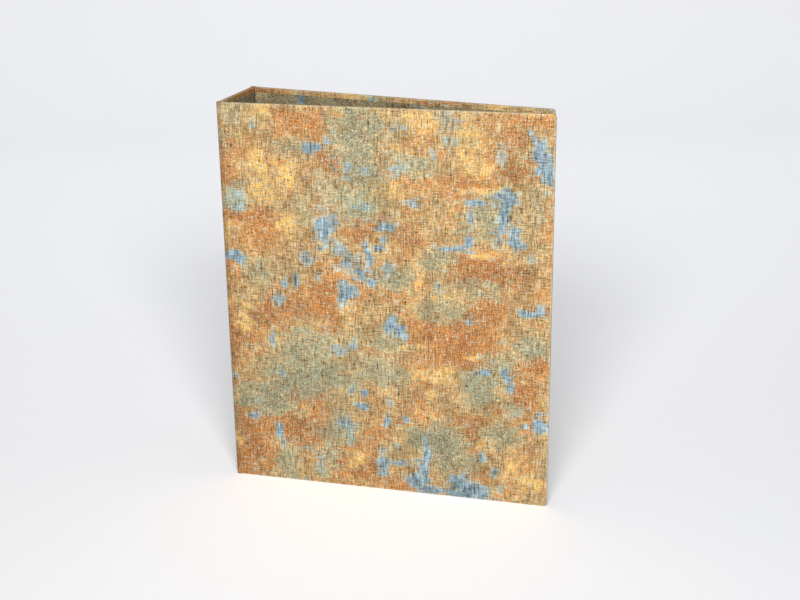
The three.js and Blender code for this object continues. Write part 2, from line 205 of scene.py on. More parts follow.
# The print: a mottled patina. Each row is one soft patch of the front cover:
# place across (minus is away from the spine) and up, half width, half height, tilt, strength
patchRows = {
    "verdigris": [
        (-257, 287, 5.6, 10.9, 10, 1), (-262, 274, 4.1, 9.5, 0, 1), (-250, 302, 1.5, 6.4, -20, 0.9),
        (-208, 250, 7.7, 2.3, 0, 1), (-231, 254, 7.2, 5.8, 0, 1), (-229, 239, 3.5, 12.1, 0, 0.9),
        (-224, 223, 3.9, 8.3, 0, 0.55), (-239, 224, 4.2, 7.1, 0, 1), (-244, 217, 2.5, 2.4, 0, 0.9),
        (-203, 237, 2.3, 9.5, 0, 0.6), (-188, 212, 14.2, 1.6, 4, 1), (-203, 218, 2.5, 4.8, -20, 1),
        (-200, 214, 6.7, 1.6, 0, 0.9), (-136, 227, 7.3, 3.4, 0, 1), (-134, 217, 3, 1.8, 0, 0.8),
        (-131, 210, 4.1, 2.5, 0, 0.9), (-85, 222, 7.9, 11.5, 10, 0.9), (-92, 230, 5.4, 4.5, 0, 0.8),
        (-98, 206, 7.4, 5.4, 0, 0.6), (-103, 196, 8.7, 7.5, 0, 0.65), (-121, 203, 2.9, 9.5, -10, 0.85),
        (-116, 187, 5.4, 5.8, 0, 0.85), (-123, 180, 4.5, 2.9, 0, 0.8), (-103, 171, 6.7, 7.2, 20, 1),
        (-98, 166, 3.3, 3.4, 0, 0.9), (-71, 197, 5, 4.6, 0, 0.7), (-61, 178, 2.5, 5.1, 0, 0.8),
        (-51, 175, 3, 3.8, 0, 0.8), (-44, 160, 5.2, 4.3, 0, 0.75), (-7, 195, 9.5, 4.2, 8, 1),
        (-13, 191, 5.4, 2.5, 0, 0.8), (-79, 287, 7.7, 3.9, 0, 0.9), (-90, 293, 3.2, 2.3, 0, 0.6),
        (-93, 301, 2.4, 2.7, 0, 0.5), (-107, 273, 3.6, 3.6, 0, 0.6), (-119, 271, 3.2, 3.2, 0, 0.6),
        (-105, 264, 3.2, 3.2, 0, 0.5), (-186, 313, 7.3, 7.5, 0, 0.4), (-188, 297, 5.8, 4.2, 0, 0.45),
        (-145, 305, 6.7, 3.8, 0, 0.45), (-145, 273, 4.9, 5.9, 0, 0.5), (-175, 287, 1.9, 3.8, 0, 0.55),
        (-227, 286, 3.8, 6.8, 0, 0.45), (-159, 248, 5.9, 3.6, 0, 0.55), (-178, 178, 3, 4.1, 0, 0.5),
        (-137, 192, 4.9, 5, 0, 0.5), (-29, 303, 2.5, 3, 0, 0.5), (-14, 242, 6, 7.4, 0, 0.45),
        (-112, 242, 10.2, 2.4, 0, 0.5), (-80, 184, 2.1, 3.8, 0, 0.5), (-250, 209, 2.9, 3, 0, 0.5),
        (-139, 148, 4.1, 6.4, 20, 1), (-145, 142, 4.9, 4.2, 0, 0.9), (-150, 137, 2.5, 2.1, 0, 0.8),
        (-203, 153, 4.4, 1.9, 0, 0.85), (-252, 164, 7.8, 3.3, 0, 0.95), (-258, 170, 2.7, 2.4, 0, 0.7),
        (-38, 125, 2, 7.9, 0, 0.8), (-97, 122, 7.2, 3.9, 0, 0.6), (-107, 126, 2.7, 6.5, 0, 0.65),
        (-3, 91, 4, 2, 0, 0.6), (-44, 96, 2.6, 3.4, 0, 0.55), (-214, 112, 6.4, 2.3, 0, 0.85),
        (-232, 111, 3.6, 4.7, 0, 0.85), (-236, 102, 2.8, 4.3, 0, 0.8), (-105, 88, 2.6, 3.1, 0, 0.8),
        (-116, 85, 3.2, 2.7, 0, 1), (-114, 73, 5.1, 2.5, 0, 1), (-137, 79, 2.7, 4.4, 0, 0.55),
        (-20, 56, 4.9, 2.5, 0, 0.75), (-23, 70, 2.2, 2.3, 0, 0.5), (-135, 63, 2.3, 5.8, 10, 0.85),
        (-150, 66, 2.9, 3.3, 0, 0.75), (-99, 57, 8.6, 5, 0, 0.6), (-102, 44, 3, 6.4, 0, 0.45),
        (-40, 45, 2.9, 5.1, -10, 1), (-44, 35, 1.8, 5.6, 0, 0.7), (-261, 71, 6.8, 6.5, 0, 1),
        (-247, 69, 2.8, 2.2, 0, 0.8), (-242, 78, 2.8, 1.9, 0, 0.6), (-131, 22, 4.3, 10.5, 0, 0.9),
        (-144, 26, 9.4, 2.5, 0, 0.8), (-168, 38, 3.4, 9.5, 0, 0.85), (-164, 23, 5.5, 6.8, 0, 0.9),
        (-162, 11, 8.1, 5.5, 0, 0.95), (-200, 11, 12.5, 6.8, 8, 1), (-193, 3, 17.6, 3.2, 4, 1),
        (-173, 4, 9.3, 3.7, 0, 0.9), (-213, 5, 6.6, 4.5, 0, 1), (-213, 38, 2.9, 4.5, 0, 0.8),
        (-224, 26, 2.9, 4, 0, 0.75), (-229, 13, 3.7, 3.6, 0, 0.6), (-64, 3, 3.3, 2.1, 0, 0.5),
        (-75, 16, 2.7, 9.3, 0, 0.5), (-63, 31, 5.3, 2.1, 0, 0.5), (-142, 40, 4.3, 2.7, 0, 0.45),
    ],
    "ochre": [
        (-39, 317, 5.3, 5.1, 0, 0.9), (-33, 273, 5.9, 12.5, -8, 0.9), (-40, 253, 9.6, 11, 0, 0.9),
        (-56, 264, 6.2, 7.2, 0, 0.7), (-46, 276, 3.1, 4, 0, 0.6), (-55, 224, 7.1, 9.1, 0, 0.7),
        (-144, 255, 7.6, 5.9, 0, 0.7), (-162, 310, 11.6, 9.5, 0, 0.55), (-201, 300, 15.3, 11.4, 0, 0.5),
        (-208, 281, 15.3, 9.6, 0, 0.5), (-211, 259, 13.5, 2.3, 0, 0.8), (-163, 192, 4, 14.4, 0, 0.7),
        (-207, 209, 11.7, 3.2, 0, 0.7), (-253, 321, 11.1, 2.6, 0, 0.6), (-183, 171, 12, 6.2, 0, 0.6),
        (-6, 221, 10.8, 4.2, 0, 0.5), (-9, 158, 8.8, 6.5, 0, 0.6), (-16, 142, 4.8, 10.9, 0, 0.9),
        (-177, 106, 18.9, 6, 0, 0.85), (-253, 21, 12.6, 6.7, 10, 0.9), (-108, 24, 7.8, 6.9, 0, 0.7),
        (-173, 90, 4.1, 2.4, 0, 0.7), (-230, 99, 2.4, 3.4, 0, 0.7), (-212, 49, 3.1, 3.5, 0, 0.7),
        (-150, 127, 2.1, 1.9, 0, 0.9), (-163, 130, 3.7, 1.9, 0, 0.9), (-206, 123, 4.4, 2.1, 0, 0.9),
        (-101, 160, 10.5, 6.4, 0, 0.45), (-73, 143, 12.8, 6.5, 0, 0.45), (-161, 165, 6.1, 10.4, 0, 0.5),
        (-241, 39, 6.1, 11.1, 0, 0.5),
    ],
    "rust": [
        (-6, 258, 6.4, 18.4, 0, 0.5), (-15, 230, 15, 5.8, 0, 0.7), (-38, 225, 12.7, 8.3, 0, 0.7),
        (-90, 276, 8.9, 6.7, 0, 0.75), (-81, 309, 6.9, 8.5, 0, 0.6), (-119, 224, 13, 6.1, 0, 0.7),
        (-207, 266, 12.3, 3.5, 0, 0.8), (-236, 299, 8.2, 8.3, 0, 0.75), (-239, 275, 12.1, 7.6, 0, 0.8),
        (-257, 319, 9.2, 8.1, 0, 0.8), (-211, 205, 17.6, 5.2, 0, 0.7), (-221, 195, 23.4, 10.1, 0, 0.8),
        (-81, 170, 11.4, 7.2, 0, 0.6), (-132, 236, 6, 6, 0, 0.5), (-151, 221, 10, 8.1, 0, 0.5),
        (-59, 310, 8.2, 11.7, 0, 0.4), (-6, 125, 8, 13.3, 0, 0.9), (-41, 149, 13.4, 8.7, 0, 0.7),
        (-72, 160, 17.8, 10.7, 0, 0.6), (-88, 146, 8.5, 8.6, 0, 0.6), (-181, 141, 30.4, 10.5, 0, 0.75),
        (-203, 131, 18.1, 12.7, 0, 0.8), (-215, 158, 17.8, 10.3, 0, 0.6), (-248, 94, 9.9, 9.4, 0, 0.85),
        (-257, 120, 7.9, 4.6, 0, 0.8), (-69, 76, 14, 7.2, 0, 0.7), (-63, 46, 21.2, 10.1, 0, 0.8),
        (-14, 42, 13.6, 19.5, 0, 0.8), (-10, 13, 16.4, 14.2, 0, 0.75), (-110, 20, 13, 11.5, 0, 0.8),
        (-204, 70, 12.3, 4.4, 0, 0.7), (-206, 53, 5.3, 13.3, 0, 0.8), (-204, 25, 10.4, 4.5, 0, 0.6),
        (-147, 8, 12.9, 4.6, 0, 0.6), (-76, 41, 13.2, 4.6, 0, 0.6), (-13, 62, 11.2, 9.2, 0, 0.5),
        (-228, 81, 12.1, 4.3, 0, 0.5),
    ],
    "sage": [
        (-113, 295, 16, 21.4, 0, 0.8), (-120, 268, 12, 7.9, 0, 0.6), (-158, 277, 17.7, 7.8, 0, 0.7),
        (-12, 244, 10.7, 9, 0, 0.8), (-58, 288, 12.3, 5.9, 0, 0.4), (-112, 243, 18.3, 12.1, 0, 0.7),
        (-216, 239, 17.4, 13.7, 0, 0.6), (-177, 203, 10, 8.9, 0, 0.6), (-141, 184, 12.2, 8.3, 0, 0.7),
        (-211, 181, 15.8, 8.2, 0, 0.5), (-32, 181, 10.8, 8.5, 0, 0.5), (-12, 316, 10.4, 9.8, 0, 0.4),
        (-88, 256, 12.3, 12, 0, 0.5), (-256, 247, 7.5, 11.6, 0, 0.4), (-70, 237, 8.3, 10.2, 0, 0.4),
        (-72, 119, 28, 17.5, 0, 0.6), (-65, 94, 32.6, 14.2, 0, 0.75), (-31, 71, 22.2, 11.4, 0, 0.75),
        (-129, 105, 17.6, 10.9, 0, 0.6), (-138, 131, 12.5, 7.3, 0, 0.6), (-212, 99, 12.9, 12.9, 0, 0.8),
        (-251, 136, 14.5, 8.3, 0, 0.7), (-183, 162, 18.1, 8.3, 0, 0.5), (-227, 120, 12, 8.4, 0, 0.6),
        (-96, 50, 15.2, 13.6, 0, 0.6), (-179, 46, 19.6, 13.4, 0, 0.8), (-191, 29, 16.7, 9, 0, 0.6),
        (-46, 17, 9, 15, 0, 0.6), (-82, 24, 8.8, 14.8, 0, 0.6), (-232, 58, 12.2, 8.8, 0, 0.7),
        (-238, 82, 8, 6.5, 0, 0.6), (-47, 36, 13.4, 4.6, 0, 0.3),
    ],
    "dark": [
        (-113, 293, 16, 19.5, 0, 0.8), (-120, 268, 14, 7.9, 0, 0.9), (-187, 220, 12.6, 3.6, 0, 0.8),
        (-177, 203, 10.8, 10.1, 0, 0.6), (-141, 185, 11, 8.3, 0, 0.7), (-255, 257, 7.5, 6.5, 0, 0.6),
        (-203, 308, 13.3, 11.3, 0, 0.5), (-216, 241, 11.6, 9.8, 0, 0.5), (-60, 287, 8.2, 4, 0, 0.5),
        (-222, 301, 7.5, 7.5, 0, 0.5), (-57, 54, 9.7, 5, 0, 1), (-65, 92, 28.3, 13.4, 0, 0.5),
        (-183, 162, 18.1, 9.1, 0, 0.6), (-179, 41, 17.6, 15.7, 0, 0.8), (-191, 20, 14.6, 6.8, 0, 0.7),
        (-138, 131, 10.4, 5.1, 0, 0.6), (-232, 58, 12.2, 8.8, 0, 0.7), (-81, 42, 2.6, 1.8, 0, 1),
        (-29, 71, 20, 9.1, 0, 0.5), (-151, 22, 4.3, 2.7, 0, 0.9),
    ],
}

# The rest of the sheet gets patches of the same kinds, spread by a fixed seed
spreadLook = {
    "seed": 11,
    "stretches": ((5, 720, 1.0), (-560, -275, 0.45), (1100, 2000, 1.3)),  # from, to, share of the count
    "verdigris": (150, 2.5, 11),  # how many, least and greatest half size in mm
    "ochre": (60, 6, 20),
    "rust": (70, 8, 26),
    "sage": (70, 9, 26),
    "dark": (50, 8, 24),
}


def spreadPatches(kind, index):
    count, least, greatest = spreadLook[kind]
    rng = np.random.default_rng(spreadLook["seed"] + index)
    rows = []
    for low, high, share in spreadLook["stretches"]:
        for _ in range(int(count * share)):
            size = least + (greatest - least) * rng.random() ** 2
            flat = 0.6 + 0.9 * rng.random()
            place = (low + (high - low) * rng.random(), 350 * rng.random() - 15)
            rows.append((*place, size * flat, size / flat, 40 * rng.random() - 20, 0.5 + 0.5 * rng.random()))
    return rows


for index, kind in enumerate(patchRows):
    patchRows[kind] += spreadPatches(kind, index)


patchLook = {
    "raggedSeed": 70,
    "raggedLengths": (34, 21, 13, 8.5, 5.5),  # mm
    "raggedGain": 0.22,
    "raggedShift": 0.5,  # of a patch's half size
    "solidReach": 0.4,  # half sizes from the middle to where a patch starts to fade
    "softReach": 1.9,  # and to where it ends
}


# A ragged shift for the outlines of the patches, between about -1 and 1
def wander(across, up, channel):
    rng = np.random.default_rng(patchLook["raggedSeed"] + channel)
    total = np.zeros(len(across))
    for length in patchLook["raggedLengths"]:
        for _ in range(3):
            way, start = rng.random(2) * 2 * math.pi
            total += np.sin(2 * math.pi * (across * math.cos(way) + up * math.sin(way)) / length + start)
    return total * patchLook["raggedGain"]


# How strongly a kind of patch shows at points of the sheet, from 0 to 1
def patchStrength(kind, across, up):
    total = np.zeros(len(across))
    shift, end = patchLook["raggedShift"], patchLook["softReach"]
    soft = end - patchLook["solidReach"]
    for placeAcross, placeUp, halfWidth, halfHeight, tilt, strength in patchRows[kind]:
        da = placeAcross - across
        db = placeUp - up
        near = (np.abs(da) < 3 * halfWidth + 8) & (np.abs(db) < 3 * halfHeight + 8)
        if not near.any():
            continue
        turn = math.radians(tilt)
        a = (da[near] * math.cos(turn) + db[near] * math.sin(turn)) / halfWidth
        b = (db[near] * math.cos(turn) - da[near] * math.sin(turn)) / halfHeight
        a += shift * wander(across[near], up[near], 0)
        b += shift * wander(across[near], up[near], 1)
        fall = np.clip(end - np.hypot(a, b), 0, soft) / soft
        total[near] = np.maximum(total[near], strength * fall * fall * (3 - 2 * fall))
    return total


printLook = {
    "tan": paint(188, 153, 96),
    "paleTan": paint(218, 186, 128),
    "rust": paint(204, 129, 54),
    "deepRust": paint(156, 88, 38),
    "ochre": paint(244, 190, 96),
    "cream": paint(252, 236, 196),
    "sage": paint(162, 164, 132),
    "olive": paint(108, 96, 62),
    "umber": paint(58, 44, 30),
    "sky": paint(148, 173, 186),
    "slate": paint(112, 135, 150),
    "teal": paint(172, 184, 164),
    # Worn edges: partly real wear, partly a painted highlight where the rounded edges catch the light
    "wornEdgeAndHighlight": paint(244, 226, 190),
}


def makePrintGroup():
    kinds = ("Tone", "Verdigris", "Ochre", "Rust", "Sage", "Dark")
    group, source, target = startGroup(
        "patinaPrint",
        {"Place": ("vector", (0, 0, 0)), **{kind: ("value", 0.0) for kind in kinds}},
        {"Color": "colour", "Blue": "value"},
    )
    tree = group
    look = printLook

    def noise(size, detail, shift, rough=0.6, distortion=0.0):
        return addNoise(tree, source["Place"], size, detail, rough, (*shift, 0), distortion)

    # A sum of noises and masks, each with its share
    def weigh(first, *others):
        total = first
        for value, share in others:
            total = addMath(tree, "MULTIPLY_ADD", value, share, total)
        return total

    cloudy = noise((16, 20), 3, (0, 0))
    mottle = noise((5.5, 7.5), 4, (40, 9), 0.65)
    grain = noise((1.5, 2.6), 3, (9, 71), 0.7)
    fine = noise((0.75, 1.5), 2, (77, 30), 0.7)
    otherFine = noise((0.7, 1.3), 2, (177, 38), 0.7)
    streak = noise((1.3, 7), 3, (20, 120), 0.7)
    ragged = noise((2.8, 4.2), 5, (12, 190), 0.75, 0.3)
    tone, rust, ochre, sage, dark = (source[k] for k in ("Tone", "Rust", "Ochre", "Sage", "Dark"))
    verdigris = source["Verdigris"]

    weight = weigh(cloudy, (grain, 0.8), (tone, 1.2))
    base = addMix(tree, addStep(tree, weight, 0.74, 1.06), look["tan"], look["paleTan"])
    broad = noise((38, 46), 2, (300, 77))
    weight = weigh(mottle, (broad, 0.9), (grain, 1.1), (fine, 0.7), (rust, 0.42), (tone, 0.8), (sage, -0.2))
    colour = addMix(tree, addStep(tree, weight, 1.74, 2.02), base, look["rust"])
    weight = weigh(streak, (fine, 1.2), (mottle, 0.5), (rust, 0.2), (tone, 0.8))
    colour = addMix(tree, addStep(tree, weight, 1.42, 1.62), colour, look["deepRust"])
    weight = weigh(streak, (otherFine, 0.9), (cloudy, 0.7), (ochre, 0.55), (tone, -1.0))
    colour = addMix(tree, addStep(tree, weight, 1.42, 1.68), colour, look["ochre"])
    weight = weigh(grain, (otherFine, 1.2), (mottle, 0.5), (sage, 0.38), (tone, 0.6))
    colour = addMix(tree, addStep(tree, weight, 1.42, 1.62), colour, look["sage"])
    weight = weigh(fine, (grain, 0.9), (ragged, 0.5), (sage, 0.13), (dark, 0.14), (tone, 1.0))
    colour = addMix(tree, addStep(tree, weight, 1.34, 1.5), colour, look["olive"])
    curl = noise((2.8, 3.4), 5, (60, 61), 0.75)
    weight = weigh(otherFine, (curl, 1.1), (ochre, 0.1), (sage, 0.08), (tone, -0.7))
    colour = addMix(tree, addStep(tree, weight, 1.17, 1.3), colour, look["cream"])

    stray = addStep(tree, noise((8, 10), 4, (260, 30)), 0.56, 0.7)
    weight = weigh(
        ragged, (otherFine, 0.95), (grain, 0.4), (verdigris, 0.66), (stray, 0.16), (sage, 0.07), (tone, 0.9),
    )
    paleMask = addMath(tree, "MULTIPLY", addStep(tree, weight, 1.24, 1.54), 0.75)
    blueMask = addMath(tree, "MULTIPLY", addStep(tree, weight, 1.44, 1.72), 0.9)
    colour = addMix(tree, paleMask, colour, look["teal"])
    blue = addMix(tree, addStep(tree, mottle, 0.38, 0.6), look["slate"], look["sky"])
    colour = addMix(tree, blueMask, colour, blue)

    weight = weigh(noise((2.0, 2.3), 4, (5, 88), 0.8), (grain, 0.35), (dark, 0.13), (tone, 0.35))
    fleck = addMath(tree, "MULTIPLY", addStep(tree, weight, 0.86, 0.96), 0.85)
    colour = addMix(tree, fleck, colour, look["umber"])
    # Broad clouds of lighter and darker print
    cloud = addMath(tree, "MULTIPLY_ADD", addMath(tree, "MULTIPLY_ADD", broad, 0.9, cloudy), 0.72, 0.316)
    shade = tree.nodes.new("ShaderNodeCombineColor")
    for socket in shade.inputs:
        setInput(tree, socket, cloud)
    colour = addMix(tree, 1.0, colour, shade.outputs[0], "MULTIPLY")
    setInput(tree, target["Color"], colour)
    setInput(tree, target["Blue"], blueMask)
    return group


printGroup = makePrintGroup()


clothLook = {
    "outerRoughness": 0.74,
    "liningRoughness": 0.84,
    # The lining's colour darkened as painted shade for the inside of the case
    "liningPaintedShade": 0.74,
    "liningGreyer": 0.5,
    "outerWeave": 0.8,  # how strongly the threads stand out
    "liningWeave": 0.6,
    "weaveHeight": 0.09,  # mm
    "betweenThreads": 0.72,  # lightness there, and how much lighter a thread's top is
    "threadLift": 0.5,
    "threadContrast": 3.5,
    "slubLift": 0.12,
    "smootherTop": 0.12,
    "smootherBlue": 0.06,
    "specular": 0.32,
    # How strongly the edges are lightened: real wear and a painted highlight on the rounded edges
    "edgeWearAndHighlight": 0.55,
    # Painted shade where the cloth turns round a joint
    "foldPaintedShade": 0.26,
}


# Bookcloth with the print on it; the lining is darkened as painted shade and has greyer print
def makeClothMaterial(name, roughness, shade, greyer, strength):
    material, tree, shader = startMaterial(name)

    def attribute(key):
        node = tree.nodes.new("ShaderNodeAttribute")
        node.attribute_name = key
        return node

    place = attribute("sheetPlace").outputs["Vector"]
    weave = placeGroup(tree, weaveGroup, Place=place)
    kinds = {kind.capitalize(): attribute(kind).outputs["Fac"] for kind in patchRows}
    for kind in ("Sage", "Dark"):
        kinds[kind] = addMath(tree, "ADD", kinds[kind], greyer)
    printed = placeGroup(tree, printGroup, Place=place, Tone=weave["Tone"], **kinds)
    # The print is darker between the threads and lighter on their tops, and each thread has its own lightness
    look = clothLook
    lift = addMath(tree, "MULTIPLY_ADD", weave["Height"], look["threadLift"], look["betweenThreads"])
    lift = addMath(tree, "MULTIPLY_ADD", weave["Tone"], look["threadContrast"], lift)
    # Painted shade: the lining's colour is darkened; the outer cloth keeps 1.0
    lift = addMath(tree, "MULTIPLY", lift, shade)
    # Painted shade: darker where the cloth turns round a joint, from values below zero
    paintedFoldShade = addMath(tree, "MINIMUM", attribute("edge").outputs["Fac"], 0.0)
    lift = addMath(tree, "MULTIPLY", lift, addMath(tree, "MULTIPLY_ADD", paintedFoldShade, look["foldPaintedShade"], 1.0))
    lift = addMath(tree, "MULTIPLY_ADD", weave["Slub"], look["slubLift"], lift)
    combine = tree.nodes.new("ShaderNodeCombineColor")
    for socket in combine.inputs:
        setInput(tree, socket, lift)
    colour = addMix(tree, 1.0, printed["Color"], combine.outputs[0], "MULTIPLY")
    # Lighter, creamy edges: real rubbing and a painted highlight where the rounded edges catch the light
    rubbedAndHighlit = addNoise(tree, place, (3, 3), 3, 0.7, (44, 2, 0))
    rubbedAndHighlit = addMath(tree, "MULTIPLY", addStep(tree, rubbedAndHighlit, 0.3, 0.6), attribute("edge").outputs["Fac"])
    rubbedAndHighlit = addMath(tree, "MULTIPLY", rubbedAndHighlit, look["edgeWearAndHighlight"], clamp=True)
    colour = addMix(tree, rubbedAndHighlit, colour, printLook["wornEdgeAndHighlight"])
    setInput(tree, shader.inputs["Base Color"], colour)
    rough = addMath(tree, "MULTIPLY_ADD", weave["Height"], -look["smootherTop"], roughness + 0.1)
    rough = addMath(tree, "MULTIPLY_ADD", printed["Blue"], -look["smootherBlue"], rough, clamp=True)
    setInput(tree, shader.inputs["Roughness"], rough)
    shader.inputs["Specular IOR Level"].default_value = look["specular"]
    bump = tree.nodes.new("ShaderNodeBump")
    bump.inputs["Strength"].default_value = strength
    bump.inputs["Distance"].default_value = look["weaveHeight"] * mm
    setInput(tree, bump.inputs["Height"], weave["Height"])
    setInput(tree, shader.inputs["Normal"], bump.outputs["Normal"])
    return material


clothMaterial = makeClothMaterial(
    "printedCloth", clothLook["outerRoughness"], 1.0, 0.0, clothLook["outerWeave"],
)
liningMaterial = makeClothMaterial(
    "printedLining", clothLook["liningRoughness"],
    clothLook["liningPaintedShade"], clothLook["liningGreyer"], clothLook["liningWeave"],
)
print("cloth materials made")


# The case, in the sizes of the CAD model
caseSize = {
    "height": 320.0,
    "coverWidth": 267.0,
    "spineWidth": 75.0,
    "thickness": 3.3,  # covered board without its lining
    "edgeRound": 0.95,
    "edgeLines": (1.5, 2.0, 2.6),  # extra grid lines behind a rounded edge
    "cornerRound": 2.6,
    "jointReach": 5.0,  # corner to the edge of a board
    "jointRound": 1.7,
    "liningInset": 4.0,
    "turnIn": 15.0,
    "turnInShows": 0.18,  # how far its edge shows through the lining
    "foldSlope": 1.5,  # over how much height the fold at the joint thickens
    "swell": 0.05,  # glued cloth is never dead flat
    "swellFade": (12.0, 6.0),  # to the joints, and to the free edges
    "swellSeeds": {"front": 15, "back": 14, "spine": 10},
    # How far the edge wear and painted highlight reach in from a rounded edge
    "wearAndHighlightReach": 1.35,
    "gridStep": 1.4,
    "coarseStep": 3.0,
    "plainStep": 1.8,  # for the back cover and the spine
    "clothThickness": 0.4,
    "blendReach": 3.0,  # corner to where the cloth stops bending
    "frontAngle": 88.5,
}

joints = {joint["name"]: joint for joint in frame["joints"]}
backCorner = np.array(joints["back_hinge"]["pos_m"][:2]) / mm
frontCorner = np.array(joints["front_hinge"]["pos_m"][:2]) / mm
spineAlong = (frontCorner - backCorner) / np.linalg.norm(frontCorner - backCorner)
openTurn = math.radians(180 - caseSize["frontAngle"])
turnCos, turnSin = math.cos(openTurn), math.sin(openTurn)
turnMatrix = np.array([[turnCos, -turnSin], [turnSin, turnCos]])
frontAlong = turnMatrix @ spineAlong
panels = {
    "back": {"corner": backCorner, "along": np.array([1.0, 0.0]), "inward": np.array([0.0, -1.0])},
    "spine": {"corner": backCorner, "along": spineAlong},
    "front": {"corner": frontCorner, "along": frontAlong},
}
for name in ("spine", "front"):
    panels[name]["inward"] = np.array([-panels[name]["along"][1], panels[name]["along"][0]])
# Start and direction of each panel on the printed sheet, which runs from the front cover over the spine
sheetStart = {"front": (0, -1), "spine": (caseSize["spineWidth"], -1), "back": (caseSize["spineWidth"], 1)}


def onPanel(panel, across, depth, up):
    data = panels[panel]
    flat = data["corner"] + across[..., None] * data["along"] + depth[..., None] * data["inward"]
    return np.concatenate([flat, up[..., None]], axis=-1)


def smooth(value):
    t = np.clip(value, 0, 1)
    return t * t * (3 - 2 * t)


# Lines of a grid from start to end, with the closer lines that a rounded edge needs
def gridLines(start, end, step, roundStart, roundEnd):
    r = caseSize["edgeRound"]
    near = [r * (1 - math.sin(math.radians(a))) for a in (90, 67, 45, 22, 0)]
    near += caseSize["edgeLines"]
    low = [start + v for v in near] if roundStart else [start]
    high = [end - v for v in reversed(near)] if roundEnd else [end]
    count = max(2, round((high[0] - low[-1]) / step))
    middle = list(np.linspace(low[-1], high[0], count + 1)[1:-1])
    return np.array(low + middle + high)


# Faces of a closed sheet whose two sides are grids of n by m points
def sheetFaces(n, m):
    index = np.arange(n * m).reshape(n, m)
    quads = np.stack([index[:-1, :-1], index[1:, :-1], index[1:, 1:], index[:-1, 1:]], -1).reshape(-1, 4)
    rim = np.concatenate([index[:, 0], index[-1, 1:], index[-2::-1, -1], index[0, -2:0:-1]])
    after = np.roll(rim, -1)
    walls = np.stack([rim, rim + n * m, after + n * m, after], -1)
    return np.concatenate([quads, quads[:, ::-1] + n * m, walls])


# A closed sheet between an outer and an inner grid of points, with its place on the printed sheet
def makeSheet(name, outer, inner, outerPlace, innerPlace, material, outerWearAndPaintedLight=None, innerWearAndPaintedLight=None):
    points = np.concatenate([outer.reshape(-1, 3), inner.reshape(-1, 3)])
    places = np.concatenate([outerPlace.reshape(-1, 2), innerPlace.reshape(-1, 2)])
    faces = sheetFaces(*outer.shape[:2])
    mesh = bpy.data.meshes.new(name)
    mesh.from_pydata((points * mm).tolist(), [], faces.tolist())
    worker = bmesh.new()
    worker.from_mesh(mesh)
    bmesh.ops.recalc_face_normals(worker, faces=worker.faces)
    worker.to_mesh(mesh)
    worker.free()
    mesh.polygons.foreach_set("use_smooth", [True] * len(mesh.polygons))
    mesh.set_sharp_from_angle(angle=math.radians(48))
    spot = mesh.attributes.new("sheetPlace", "FLOAT_VECTOR", "POINT")
    spot.data.foreach_set("vector", np.column_stack([places, np.zeros(len(places))]).ravel())
    for kind in patchRows:
        strength = mesh.attributes.new(kind, "FLOAT", "POINT")
        strength.data.foreach_set("value", patchStrength(kind, places[:, 0], places[:, 1]))
    # Above zero: edge wear with a painted highlight; below zero: painted shade at the joint folds
    wearAndPaintedLight = np.zeros(len(places))
    if outerWearAndPaintedLight is not None:
        wearAndPaintedLight = np.concatenate([outerWearAndPaintedLight.ravel(), innerWearAndPaintedLight.ravel()])
    mesh.attributes.new("edge", "FLOAT", "POINT").data.foreach_set("value", wearAndPaintedLight)
    mesh.materials.append(material)
    piece = bpy.data.objects.new(name, mesh)
    bpy.context.scene.collection.objects.link(piece)
    return piece


# A slow unevenness with a fixed seed, between about -1 and 1
def wave(across, up, seed):
    rng = np.random.default_rng(seed)
    total = np.zeros(across.shape)
    for length in (210, 130, 85, 60):
        a, b, c = rng.random(3) * 2 * math.pi
        run = across * math.cos(a) + up * math.sin(a)
        total += length / 210 * np.sin(2 * math.pi * run / length + b) * 0.5
    return total


